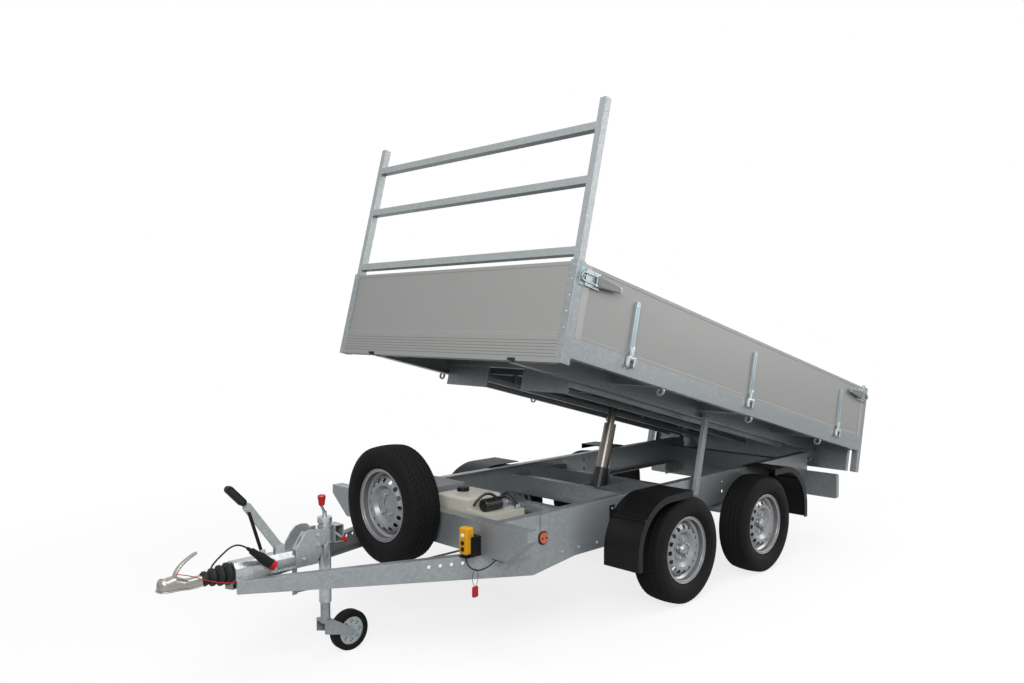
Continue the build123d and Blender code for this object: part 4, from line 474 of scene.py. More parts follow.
def swept(line: Array, wide: Array, deep: Array, edge: float, across: tuple, count: int) -> Array:
    """Carries a superellipse along a line and closes it at both ends.

    A point is line(t) + wide(t) * c(u) * side + deep(t) * s(u) * lift, with c and s a cosine and a sine
    raised to the edge's power; side is square to the line and to across, lift to both.

    Args:
        line: Points of the middle line.
        wide: Half width at each.
        deep: Half thickness at each.
        edge: Power of the section, 1 for a circle.
        across: Direction that side is square to.
        count: Points round.

    Returns:
        Points of shape (along, round, 3).
    """
    ahead = np.gradient(line, axis=0)
    ahead /= np.linalg.norm(ahead, axis=1, keepdims=True)
    side = np.cross(ahead, across)
    side /= np.linalg.norm(side, axis=1, keepdims=True)
    lift = np.cross(side, ahead)
    u = angles(count)[None, :, None]
    ring = wide[:, None, None] * power(np.cos(u), edge) * side[:, None]
    ring = ring + deep[:, None, None] * power(np.sin(u), edge) * lift[:, None]
    ends = np.broadcast_to(line[[0, -1], None], (2, count, 3))
    return np.concatenate([ends[:1], line[:, None] + ring, ends[1:]])


def oval(half_x: float, half_y: float, edge: float) -> Array:
    """Points of a superellipse: half sizes times a cosine and a sine raised to the edge's power."""
    u = angles(64)
    return np.stack([half_x * power(np.cos(u), edge), half_y * power(np.sin(u), edge)], axis=1)


AXLE_X = 307.649
HINGE_X, HINGE_Z, HINGE_DEPTH = 2212.649, 600.0, 69.0  # The bed's hinge, and its depth under the bed's measures
REST_TILT = np.radians(14.1)
SIN, COS = np.sin(REST_TILT), np.cos(REST_TILT)
BED_ORIGIN = np.array([HINGE_X + HINGE_DEPTH * SIN, 0.0, HINGE_Z + HINGE_DEPTH * COS])
BED_AXES = np.array([[COS, 0.0, -SIN], [0.0, 1.0, 0.0], [SIN, 0.0, COS]])


class Base(Enum):
    """What a piece is measured from; each gives the origin and axes of its measures."""

    CHASSIS = "stations from the front axle, across and up"
    BED = "along the bed from its hinge, across and up from its front beam"

    def axes(self) -> Array:
        """Rows are the directions of the three measures."""
        return BED_AXES if self is Base.BED else np.eye(3)

    def place(self, points: Array) -> Array:
        """Turns measures in mm into metres of the frame.

        Args:
            points: Array whose last way holds three measures.

        Returns:
            An array of the same shape.
        """
        points = np.asarray(points, float)
        if self is Base.BED:
            return (BED_ORIGIN + points @ BED_AXES) * MM
        return (points + [AXLE_X, 0.0, 0.0]) * MM


class Studio:
    """Camera, soft light and a pale floor."""

    IMAGE_W, FOCAL_PX, SENSOR_MM = 1024, 853.55, 36.0
    EYE = (-3.85277, -3.6443, 1.6649)
    YAW, PITCH, ROLL = 44.0779, -1.537, -0.2011
    FAR = 100.0
    WHITE = "ffffff"
    SKY, SKY_STRENGTH, SKY_MIRRORED = "f4f7fb", 0.27, 1.0
    FLOOR_HALF, FLOOR_MIRRORED = 30.0, 0.25
    FLOOR_PAINT, FLOOR_BOUNCE = "e6e6e4", "3e3e3e"
    # The floor's own white grows away from the trailer, so that the shadow stays and fades out
    FLOOR_FADE = {"From Min": 1.5, "From Max": 4.5, "To Min": 0.8, "To Max": 1.0}
    # Name, place, aim, side of the square and watts
    SOFTBOXES = (
        ("key_softbox", (-5.6, -4.6, 5.0), (0.3, 0.0, 0.8), 4.5, 580.0),
        ("top_softbox", (0.5, -1.0, 7.0), (0.5, 0.0, 0.5), 6.0, 350.0),
        ("rear_softbox", (5.5, -3.5, 3.0), (0.5, 0.0, 0.8), 3.5, 150.0),
    )

    def camera(self) -> None:
        """Places the camera where the photograph was taken from.

        The view direction is (sin yaw cos pitch, cos yaw cos pitch, sin pitch); roll turns the frame about it.
        """
        yaw, pitch, roll = np.radians([self.YAW, self.PITCH, self.ROLL])
        ahead = np.array([np.sin(yaw) * np.cos(pitch), np.cos(yaw) * np.cos(pitch), np.sin(pitch)])
        right = np.cross(ahead, UP)
        right /= np.linalg.norm(right)
        up = np.cross(right, ahead)
        right, up = np.cos(roll) * right + np.sin(roll) * up, -np.sin(roll) * right + np.cos(roll) * up
        lens = bpy.data.cameras.new("photo_camera")
        lens.sensor_fit = "HORIZONTAL"
        lens.sensor_width = self.SENSOR_MM
        lens.lens = self.FOCAL_PX / self.IMAGE_W * self.SENSOR_MM
        lens.clip_end = self.FAR
        obj = add_object("photo_camera", lens)
        turn = Matrix(np.stack([right, up, -ahead], axis=1).tolist()).to_4x4()
        obj.matrix_world = Matrix.Translation(self.EYE) @ turn
        bpy.context.scene.camera = obj

    def seen_white(self, tree: Tree, mirrored: float) -> Socket:
        """A socket that is 1 for rays that come from the camera or glass, and a share for a mirror's rays.

        Args:
            tree: Tree that gets the nodes.
            mirrored: Share for rays that a mirror sends.

        Returns:
            The socket.
        """
        path = add(tree, "ShaderNodeLightPath").outputs
        gloss = add(tree, "ShaderNodeMath", {0: path["Is Glossy Ray"]}, {1: mirrored}, operation="MULTIPLY")
        either = add(tree, "ShaderNodeMath", {0: path["Is Camera Ray"], 1: gloss.outputs[0]}, operation="MAXIMUM")
        return add(tree, "ShaderNodeMath", {0: either.outputs[0], 1: path["Is Transmission Ray"]},
                   operation="MAXIMUM").outputs[0]

    def world(self) -> None:
        """White to look at, and a soft even sky that lights the trailer."""
        world = bpy.data.worlds.new("studio_sky")
        bpy.context.scene.world = world
        tree = cleared(world)
        light, white = (
            add(tree, "ShaderNodeBackground", values={"Color": linear(colour), "Strength": strength}).outputs[0]
            for colour, strength in ((self.SKY, self.SKY_STRENGTH), (self.WHITE, 1.0)))
        both = add(tree, "ShaderNodeMixShader", {0: self.seen_white(tree, self.SKY_MIRRORED), 1: light, 2: white})
        add(tree, "ShaderNodeOutputWorld", {"Surface": both.outputs[0]})

    def floor(self) -> None:
        """A wide pale floor that keeps the shadow; light that bounces off it is dimmed."""
        ends = np.linspace(-self.FLOOR_HALF, self.FLOOR_HALF, 3)
        x, y = np.meshgrid(ends, ends, indexing="ij")
        obj = put_mesh("studio_floor", np.stack([x, y, np.zeros_like(x)], axis=-1), grid_quads(3, 3, False, False),
                       shell=False)
        material = bpy.data.materials.new("studio_floor_paint")
        tree = cleared(material)
        bounced = add(tree, "ShaderNodeLightPath").outputs["Is Diffuse Ray"]
        tint = add(tree, "ShaderNodeMix", {"Factor": bounced},
                   {"A": linear(self.FLOOR_PAINT), "B": linear(self.FLOOR_BOUNCE)}, data_type="RGBA").outputs[2]
        paint = add(tree, "ShaderNodeBsdfDiffuse", {"Color": tint})
        white = add(tree, "ShaderNodeEmission", values={"Color": linear(self.WHITE), "Strength": 1.0})
        place = add(tree, "ShaderNodeTexCoord").outputs["Object"]
        away = add(tree, "ShaderNodeVectorMath", {0: place}, operation="LENGTH").outputs["Value"]
        fade = add(tree, "ShaderNodeMapRange", {"Value": away}, self.FLOOR_FADE).outputs[0]
        share = add(tree, "ShaderNodeMath", {0: self.seen_white(tree, self.FLOOR_MIRRORED), 1: fade},
                    operation="MULTIPLY")
        both = add(tree, "ShaderNodeMixShader", {0: share.outputs[0], 1: paint.outputs[0], 2: white.outputs[0]})
        add(tree, "ShaderNodeOutputMaterial", {"Surface": both.outputs[0]})
        obj.data.materials.append(material)

    def build(self) -> None:
        """Sets up the whole studio."""
        self.camera()
        self.world()
        self.floor()
        for name, place, aim, size, watts in self.SOFTBOXES:
            lamp = bpy.data.lights.new(name, "AREA")
            lamp.size, lamp.energy = size, watts
            obj = add_object(name, lamp)
            obj.location = place
            obj.rotation_euler = (Vector(aim) - Vector(place)).to_track_quat("-Z", "Y").to_euler()
            obj.visible_camera = False
        bpy.context.scene.view_settings.view_transform = "Standard"


@dataclass(frozen=True)
class Piece:
    """What the pieces of every shape have.

    Attributes:
        name: Name of the piece.
        body: Body that it rides on.
        base: What its measures are taken from.
        finish: Its finish.
    """

    # Pieces that stand for a CAD node
    STANDS_FOR = {"remote_tag_plate": "remote_tag", "remote_shell": "remote_control",
                  "jockey_bracket_near": "jockey_clamp"}

    name: str
    body: str
    base: Base
    finish: Finish

    def shape(self) -> tuple[Array, Array, bool]:
        """Points in metres, the quads that join them, and whether they are shaded smooth."""
        raise NotImplementedError

    def build(self) -> bpy.types.Object:
        """Makes the piece.

        Returns:
            The piece.
        """
        obj = put_mesh(self.name, *self.shape())
        return dressed(obj, self.body, self.finish, self.STANDS_FOR.get(self.name))


@dataclass(frozen=True)
class Block(Piece):
    """A solid with rounded edges, such as a cap, a plate or a lens.

    Attributes:
        middle: Its middle, in mm, or the middles of several of them.
        half: Half its three sizes, in mm.
        edge: From 0.05, sharp, to 1, an ellipsoid.
    """

    ROUND, RISE = 64, 25  # Points round and from pole to pole
    CROWD = 0.6  # Under 1, it crowds the steps towards the poles

    middle: tuple
    half: tuple
    edge: float = 0.12

    def shape(self) -> tuple[Array, Array, bool]:
        """A superellipsoid.

        With c and s for a cosine and a sine raised to the edge's power, sign kept, a point is
        middle + half * (c(v) c(u), c(v) s(u), s(v)), u once round and v from pole to pole.

        Returns:
            Points, quads and smooth shading.
        """
        steps = np.linspace(-1.0, 1.0, self.RISE)
        v = (np.sign(steps) * np.abs(steps) ** self.CROWD * np.pi / 2)[None, :]
        u = angles(self.ROUND)[:, None]
        bent = [power(w, self.edge) for w in (np.cos(v), np.sin(v), np.cos(u), np.sin(u))]
        unit = np.stack(np.broadcast_arrays(bent[0] * bent[2], bent[0] * bent[3], bent[1]), axis=-1)
        middles = np.atleast_2d(np.array(self.middle, float))
        points = self.base.place(middles[:, None, None] + unit * self.half)
        return points, repeated(grid_quads(self.ROUND, self.RISE, True, False), len(middles)), True


@dataclass(frozen=True)
class Turned(Piece):
    """Turned pieces of one shape, such as bolts, washers, caps or knobs.

    Attributes:
        places: Middle of each foot, in mm.
        axis: Direction out of the surface.
        section: Height and radius in mm from the foot to the top, and the number of sides where it isn't round;
            a section that doesn't end on the axis is closed into a ring.
        columns: Points round.
    """

    places: tuple
    axis: tuple
    section: tuple
    columns: int = 24

    def shape(self) -> tuple[Array, Array, bool]:
        """All of them in one.

        A point is place + height * axis + radius * flat(t) * (cos t * first + sin t * second). First is square
        to the axis and to the world direction it points along least, second to both. Where the section has
        sides, flat(t) draws a polygon of that many: cos(h) / cos(t mod 2h - h) with h half the angle of one
        side; elsewhere it is 1.

        Returns:
            Points, quads and flat shading.
        """
        places = self.base.place(np.array(self.places))
        axis = np.array(self.axis, float) @ self.base.axes()
        axis /= np.linalg.norm(axis)
        first = np.cross(axis, np.eye(3)[np.argmin(np.abs(axis))])
        first /= np.linalg.norm(first)
        second = np.cross(axis, first)
        section = np.array([(*row, 0)[:3] for row in self.section], float)
        if section[-1, 1] == 0 and section[0, 1] > 0:
            section = np.concatenate([section[:1] * [1.0, 0.0, 0.0], section])
        turn = angles(self.columns)[:, None]
        height, radius, sides = (section[:, k][None, :] for k in range(3))
        half = np.pi / np.maximum(sides, 3.0)
        flat = np.where(sides > 0, np.cos(half) / np.cos(turn % (2 * half) - half), 1.0)
        reach = (radius * flat)[..., None] * MM
        ring = np.cos(turn)[..., None] * first + np.sin(turn)[..., None] * second
        points = places[:, None, None] + (height * MM)[..., None] * axis + reach * ring
        quads = grid_quads(self.columns, len(section), True, section[-1, 1] > 0)
        return points, repeated(quads, len(places)), False


@dataclass(frozen=True)
class Plate(Piece):
    """A flat plate cut to an outline, with or without a window.

    Attributes:
        middle: Point in mm that the outline is drawn about.
        along: Direction of the outline's first measure.
        up: Direction of its second measure.
        thick: Thickness towards the cross product of along and up.
        outline: Points of the outline, in mm.
        window: Points of the window, as many, or none.
    """

    middle: tuple
    along: tuple
    up: tuple
    thick: float
    outline: tuple | Array
    window: Array | None = None

    def shape(self) -> tuple[Array, Array, bool]:
        """The plate's section, carried round the outline.

        It runs from the inner edge to the outer one on the front, and back on the rear face; the inner
        edge is the window, or the middle of the outline.

        Returns:
            Points, quads and flat shading.
        """
        outer = np.asarray(self.outline, float)
        inner = np.broadcast_to(outer.mean(axis=0), outer.shape) if self.window is None else self.window
        axes = np.array([self.along, self.up], float)
        normal = np.cross(axes[0], axes[1])
        layers = ((inner, 0.0), (outer, 0.0), (outer, self.thick), (inner, self.thick))
        points = np.stack([np.array(self.middle) + flat @ axes + depth * normal for flat, depth in layers], axis=1)
        quads = grid_quads(len(outer), len(layers), True, self.window is not None)
        return self.base.place(points), quads, False


# Body and base of most pieces
CHASSIS, BED = ("chassis", Base.CHASSIS), ("bed", Base.BED)


def skin(name: str, home: tuple[str, Base], finish: Finish, points: Array,
         node: str | None = None) -> bpy.types.Object:
    """Makes a piece from one or several grids of points that are closed round and at both ends.

    Args:
        name: Name of the piece.
        home: Body that it rides on, and what its measures are taken from.
        finish: Its finish.
        points: Points in mm, of shape (along, round, 3), or several of that shape.
        node: CAD node that it stands for, or none.

    Returns:
        The piece.
    """
    body, base = home
    grids = points.reshape(-1, *points.shape[-3:])
    quads = repeated(grid_quads(*grids.shape[1:3], False, True), len(grids))
    return dressed(put_mesh(name, base.place(grids), quads), body, finish, node)


# Each road wheel's body, station and side
WHEELS = tuple((f"wheel_{end}_{word}", station, side)
               for end, station in (("front", 0.0), ("rear", 890)) for word, side in SIDES.items())


@dataclass(frozen=True)
class Tyre:
    """A road tyre with its tread, in the place of one CAD tyre; sizes in mm.

    Attributes:
        node: CAD node that it stands for.
        body: Body that it rides on.
        axle: Outward axle.
        half_w: Half the section's width.
        outer_r: Outer radius.
        bead_r: Radius of the rim's bead seat.
        flange_r: Radius of the rim's flange.
        bead_w: Half the width between the beads.
        wall_h: Height of the section's widest place over the flange.
        shoulder: Half the tread's width.
        crown: How far the tread falls towards the shoulder.
        groove: Depth of the tread.
        grooves: Where the grooves round the tyre run.
        groove_half: Half their width.
        blocks: Number of blocks round each shoulder.
        block_line: Where the shoulder's blocks start.
        slant: Width over which a slot moves on by one block.
        slot, cut: Share of a block that its slot takes, and of half a block that a cut takes.
        depths: Depth of grooves, slots and cuts, as shares of the groove's.
        wall_rings: Radius, width and rise of each ring on the sidewall.
        columns: Points round.
    """

    node: str
    body: str
    axle: tuple
    half_w: float = 97.5
    outer_r: float = 314.5
    bead_r: float = 180.4
    flange_r: float = 194.5
    bead_w: float = 66
    wall_h: float = 55
    shoulder: float = 76
    crown: float = 6.0
    groove: float = 6.5
    grooves: tuple = (-44, -15, 15, 44)
    groove_half: float = 4.2
    blocks: int = 64
    block_line: float = 46
    slant: float = 38
    slot: float = 0.22
    cut: float = 0.07
    depths: tuple = (1.0, 0.8, 0.55)
    wall_rings: tuple = ((203.5, 2.5, 1.5), (280.5, 2.0, -1.0))
    columns: int = 448

    def section(self) -> Array:
        """Half section from the bead over the sidewall to the middle of the tread, as (along, radius) in mm.

        The sidewall is two arcs, as on the CAD tyre, with a raised and a sunk ring on it, each of the shape
        exp(-(distance / width)^2); the tread is a flat arc.

        Returns:
            Points in mm.
        """
        wall_top, edge = self.flange_r + self.wall_h, self.outer_r - self.crown
        bead = np.array([[self.bead_w - 8.0, self.bead_r], [self.bead_w, self.bead_r],
                         [self.bead_w, self.flange_r - 4.0]])
        low = arc((self.bead_w + 0.5, self.flange_r), (self.half_w - 4.0, self.flange_r + 28),
                  (self.half_w, wall_top), 16)
        high = arc((self.half_w, wall_top), (self.half_w - 5.0, self.outer_r - 30), (self.shoulder, edge), 14)[1:]
        across = np.linspace(self.shoulder, 0.0, 34)[1:]
        tread = np.stack([across, self.outer_r - self.crown * (across / self.shoulder) ** 2], axis=1)
        wall = np.concatenate([low, high])
        for radius, width, rise in self.wall_rings:
            wall[:, 0] += rise * np.exp(-((wall[:, 1] - radius) / width) ** 2)
        return np.concatenate([bead, wall, tread])

    def build(self) -> bpy.types.Object:
        """Builds the tyre on a grid of angle and section.

        A point at angle t is centre + along * axle + radius * (cos t * side + sin t * up). On the tread the
        radius drops in the grooves round the tyre, in the slanted slots between the shoulder blocks and in the
        thin cuts across the ribs, by the deepest of those that meet there.

        Returns:
            The piece.
        """
        half = self.section()
        section = np.concatenate([half, (half * [-1, 1])[::-1][1:]])
        turn = angles(self.columns)[:, None]
        across, radius = section[None, :, 0], section[None, :, 1]
        on_tread = radius > self.outer_r - self.crown - 3.0
        rings = np.minimum.reduce([np.abs(across - y) for y in self.grooves]) < self.groove_half
        phase = (turn * self.blocks / TURN + np.abs(across) / self.slant) % 1.0
        slots = (phase < self.slot) & (np.abs(across) > self.block_line)
        cuts = ((phase * 0.5 + 0.3) % 0.5 < self.cut) & (np.abs(across) < self.block_line)
        drops = np.broadcast_arrays(*(kind * share for kind, share in zip((rings, slots, cuts), self.depths)))
        depth = self.groove * on_tread * np.maximum.reduce(drops)
        low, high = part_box(self.node)
        axle, up = np.array(self.axle, float), np.array(UP)
        spoke = (np.cos(turn) * np.cross(up, axle) + np.sin(turn) * up)[:, None]
        points = np.array((low + high) / 2) + MM * (across[..., None] * axle + (radius - depth)[..., None] * spoke)
        obj = put_mesh(f"{self.node}_tread", points, grid_quads(*points.shape[:2], True, True))
        return dressed(obj, self.body, Palette.TYRE, self.node)


class RoadWheels:
    """The four road wheels and the spare."""

    TYRES = (*(Tyre(f"{wheel}_tyre", wheel, (0, side, 0)) for wheel, _, side in WHEELS),
             Tyre("spare_tyre", "chassis", FRONT))

    def build(self) -> list[bpy.types.Object]:
        """Builds all the tyres."""
        return [tyre.build() for tyre in self.TYRES]


@dataclass(frozen=True)
class Cord:
    """One free cord.

    Attributes:
        node: CAD node that it stands for.
        finish: Its sheath.
        diameter: In mm.
        length: Real length in mm; not used.
        stiffness: How it bends; not used.
        route: Control points of its line, as station, across and up in mm.
    """

    node: str
    finish: Finish
    diameter: float
    length: float
    stiffness: str
    route: tuple

    def build(self, with_pieces: list) -> bpy.types.Object:
        """Builds the cord as a smooth curve with a round bevel.

        Args:
            with_pieces: Pieces that are on it; not used.

        Returns:
            The curve.
        """
        points = Base.CHASSIS.place(np.array(self.route))
        curve = bpy.data.curves.new(f"{self.node}_line", "CURVE")
        curve.dimensions = "3D"
        curve.bevel_depth = self.diameter / 2 * MM
        curve.bevel_resolution = 4
        curve.resolution_u = 10
        curve.use_fill_caps = True
        spline = curve.splines.new("NURBS")
        spline.points.add(len(points) - 1)
        spline.points.foreach_set("co", np.column_stack([points, np.ones(len(points))]).ravel())
        spline.order_u = 3
        spline.use_endpoint_u = True
        obj = dressed(add_object(f"{self.node}_line", curve), "chassis", self.finish, self.node)
        tuple(points[0])
        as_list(with_pieces)
        return obj


class Cords:
    """Plug lead, breakaway cable, lead of the hand control, and the lanyard with its tag."""

    PLUG_LEAD = Cord("plug_cable", Palette.BLACK_RUBBER, 8.0, 356, "medium", (
        (-2357, -55, 632), (-2388, -48, 654), (-2427, -36, 647), (-2456, -12, 612),
        (-2474, 20, 578), (-2480, 56, 540), (-2474, 70, 498), (-2446, 58, 466),
        (-2409.3, 40, 459)))
    BREAKAWAY = Cord("breakaway_cable", Palette.RED, 4.0, 277, "medium", (
        (-2660, -14.3, 568), (-2648, -32, 566), (-2618, -38, 558), (-2571, -43, 536),
        (-2520, -55, 513), (-2464, -62, 497), (-2409.3, -51, 484)))
    REMOTE_LEAD = Cord("remote_cable", Palette.BLACK_RUBBER, 7.0, 225, "medium", (
        (-1425, -486, 491), (-1424, -490, 464), (-1414, -512, 438), (-1396, -546, 430),
        (-1374, -582, 448), (-1350, -606, 472), (-1322, -614, 498)))
    LANYARD = Cord("remote_tag", Palette.BLACK_RUBBER, 2.5, 196, "limp", (
        (-1400, -533, 353), (-1386, -533, 378), (-1384, -533, 412), (-1395, -533, 439),
        (-1411, -533, 439), (-1424, -533, 412), (-1424, -533, 378), (-1409, -533, 353)))
    TAG = Block("remote_tag_plate", *CHASSIS, Palette.RED, (-1405, -533, 326.5), (18, 5.0, 27), 0.3)

    def build(self) -> list[bpy.types.Object]:
        """Builds the cords and the tag.

        Returns:
            The pieces.
        """
        tag = self.TAG.build()
        on_cord = ((self.PLUG_LEAD, [frame["nodes"]["plug"]]), (self.BREAKAWAY, []), (self.REMOTE_LEAD, []),
                   (self.LANYARD, [tag]))
        return [tag, *(cord.build(pieces) for cord, pieces in on_cord)]


@dataclass(frozen=True)
class Coupling:
    """Pressed ball coupling with its lip and handle, in the place of the CAD coupling; sizes in mm.

    Attributes:
        nose: Station of the nose.
        nose_r: Radius of the nose's lip, seen from above.
        along: Distances from the nose.
        tops: Height of the pressing there.
        lows: Height of its lower edge.
        halves: Half its width.
        ball: Distance of the ball's middle from the nose, and the socket's radius.
        edges: Powers of the pressing's section across and up.
        lip_half: Half the lip's width and thickness.
        handle: Four points that steer the handle's curve, as station and height.
        handle_wide: Half its width at the start and the end.
        handle_deep: Half its thickness there.
        handle_tip: Share of its length where the round tip starts, and the tip's share.
    """

    nose: float = -2742
    nose_r: float = 39
    along: tuple = (0.0, 3.0, 8.0, 16, 26, 36, 52, 72, 96, 112, 128, 145, 170, 192)
    tops: tuple = (518, 540, 551, 557, 556, 552, 556, 558, 550, 542, 536, 535, 537, 538)
    lows: tuple = (505, 504, 503, 503, 503, 503, 502, 501, 499, 496, 493, 493, 494, 497)
    halves: tuple = (0.0, 15, 23.7, 31.5, 36.8, 38.9, 39, 37, 33, 29.5, 27.5, 27, 27, 27)
    ball: tuple = (40, 25.5)
    edges: tuple = (0.7, 0.55)
    lip_half: tuple = (4.2, 3.4)
    handle: tuple = ((-2668, 545), (-2664, 596), (-2602, 626), (-2566, 643))
    handle_wide: tuple = (14, 10.5)
    handle_deep: tuple = (7.0, 5.5)
    handle_tip: tuple = (0.93, 0.075)

    def pressing(self) -> Array:
        """Points of the body.

        At each station, y = half * c(u); above, z = low + (top - low) * s(u), and below z = low, raised inside
        the socket by its radius times sqrt(1 - (r / radius)^2). c and s are a cosine and a sine raised to the
        edges' powers.

        Returns:
            Points of shape (along, round, 3), in mm.
        """
        ball, socket_r = self.ball
        front, back = np.linspace(0.0, 1.0, 24) ** 2 * ball, np.linspace(ball + 4.0, self.along[-1], 60)
        d = np.concatenate([front, back])[:, None]
        top, low, half = (np.interp(d, self.along, row) for row in (self.tops, self.lows, self.halves))
        u = angles(72)[None, :]
        y = half * power(np.cos(u), self.edges[0])
        reach = np.hypot(d - ball, y) / socket_r
        socket = socket_r * np.sqrt(np.clip(1.0 - reach ** 2, 0.0, 1.0))
        arch = (top - low) * power(np.abs(np.sin(u)), self.edges[1])
        z = np.where(np.sin(u) >= 0, low + arch, low + socket)
        points = np.stack(np.broadcast_arrays(self.nose + d, y, z), axis=-1)
        last = points[-1:]
        return np.concatenate([points, np.broadcast_to(last.mean(axis=1, keepdims=True), last.shape)])

    def lip(self) -> Array:
        """Points of the rolled lip: a flat oval carried round the lower edge, from side to side over the nose.

        Returns:
            Points of shape (along, round, 3), in mm.
        """
        ball, bend = self.ball[0], np.linspace(0.0, np.pi / 2, 24)[1:]
        d = np.concatenate([np.linspace(self.along[-1], ball, 40), ball * (1.0 - np.sin(bend))])
        half, low = np.interp(d, self.along, self.halves), np.interp(d, self.along, self.lows)
        rounded = np.sqrt(np.clip(self.nose_r ** 2 - (self.nose_r - d) ** 2, 0.0, None))
        half = np.where(d < self.nose_r, rounded, half)
        near = np.stack([self.nose + d, -half, low + 2.0], axis=1)
        line = np.concatenate([near, (near * [1, -1, 1])[::-1][1:]])
        wide, deep = (np.full(len(line), size) for size in self.lip_half)
        return swept(line, wide, deep, 0.8, UP, 14)

    def lever(self) -> Array:
        """Points of the handle: a flat oval that tapers along the cubic curve that its four points steer.

        Returns:
            Points of shape (along, round, 3), in mm.
        """
        t = np.linspace(0.0, 1.0, 40)[:, None]
        shares = np.concatenate([(1 - t) ** 3, 3 * t * (1 - t) ** 2, 3 * t ** 2 * (1 - t), t ** 3], axis=1)
        flat = shares @ np.array(self.handle)
        line = np.stack([flat[:, 0], np.zeros(len(t)), flat[:, 1]], axis=1)
        tip, tip_share = self.handle_tip
        ends = np.sqrt(1.0 - np.clip((t[:, 0] - tip) / tip_share, 0.0, 1.0) ** 2)
        wide, deep = (np.interp(t[:, 0], (0.0, 1.0), row) * ends for row in (self.handle_wide, self.handle_deep))
        return swept(line, wide, deep, 0.55, (1.0, 0.0, -0.3), 24)

    def build(self) -> list[bpy.types.Object]:
        """Builds the coupling.

        Returns:
            The pieces.
        """
        rows = (("coupling_pressing", self.pressing(), "coupling_head"), ("coupling_lip", self.lip(), None),
                ("coupling_handle", self.lever(), None))
        return [skin(name, CHASSIS, Palette.WARM_ZINC, points, node) for name, points, node in rows]


class JockeyClamp:
    """Folded bracket with a window, and the clamp round the jockey wheel's tube, in the place of the CAD clamp."""

    SIDE = ((-2108, 496), (-2108, 576), (-2057, 651), (-2046, 658), (-1990, 656),
            (-1974, 648), (-1972, 540), (-1998, 496))
    FAR_SIDE = ((-2108, 496), (-2108, 590), (-2075, 640), (-2050, 662), (-2020, 668),
                (-1990, 664), (-1974, 650), (-1972, 540), (-1998, 496))
    SLOPE = (0.5623, 0.0, 0.8269)
    BAND = ((0.0, 30.6), (0.0, 37), (5.0, 37), (6.0, 34.6), (78, 34.6), (79, 37), (84, 37),
            (84, 30.6))
    BOLT = ((-14, 0.0), (-14, 6.5), (40, 6.5), (40, 0.0))
    BOLT_AXIS = (56, 0.0, -45)
    SHARP = 0.12  # Power of an oval that is nearly a rectangle

    def build(self) -> list[bpy.types.Object]:
        """Builds the bracket and the clamp.

        Returns:
            The pieces.
        """
        steel = (*CHASSIS, Palette.BRIGHT_GALVANISED)
        box, hollow = oval(26, 43, self.SHARP), oval(21.5, 38.5, self.SHARP)
        made = (
            Plate("jockey_bracket_near", *steel, (0.0, -50, 0.0), TAIL, UP, 6.0, self.SIDE),
            Plate("jockey_bracket_far", *steel, (0.0, 56, 0.0), TAIL, UP, 6.0, self.FAR_SIDE),
            Plate("jockey_bracket_flange", *steel, (-2084, -35.5, 613), (0.0, 1.0, 0.0), self.SLOPE, 5.0,
                  oval(20, 47, self.SHARP), oval(7.5, 23, 0.8)),
            Plate("jockey_clamp_box", *steel, (-1866, 20, 610), TAIL, UP, 66, box, hollow),
            Plate("jockey_clamp_back", *steel, (-1866, 24, 610), TAIL, UP, 5.0, box),
            Block("jockey_clamp_ears", *steel, tuple((-1966, side * 46, 610) for side in SIDES.values()),
                  (20, 8.0, 38), 0.1),
            Turned("jockey_clamp_band", *steel, ((-1920, 0.0, 568),), UP, self.BAND, 48),
            Turned("jockey_clamp_bolt", *CHASSIS, Palette.ZINC, ((-1878, -40, 610),), self.BOLT_AXIS,
                   self.BOLT),
        )
        return [piece.build() for piece in made]


LATCH_W = 436  # Height of the latches over the bed's measures
LATCH_PINS = {"front": -3199, "rear": 58}
STRAPS = (-2745, -1548, -345)  # Where the dropsides' hinge straps are along the bed
RAIL_FACE = 600
MARKER = (-995, 530)  # Station and height of the side markers


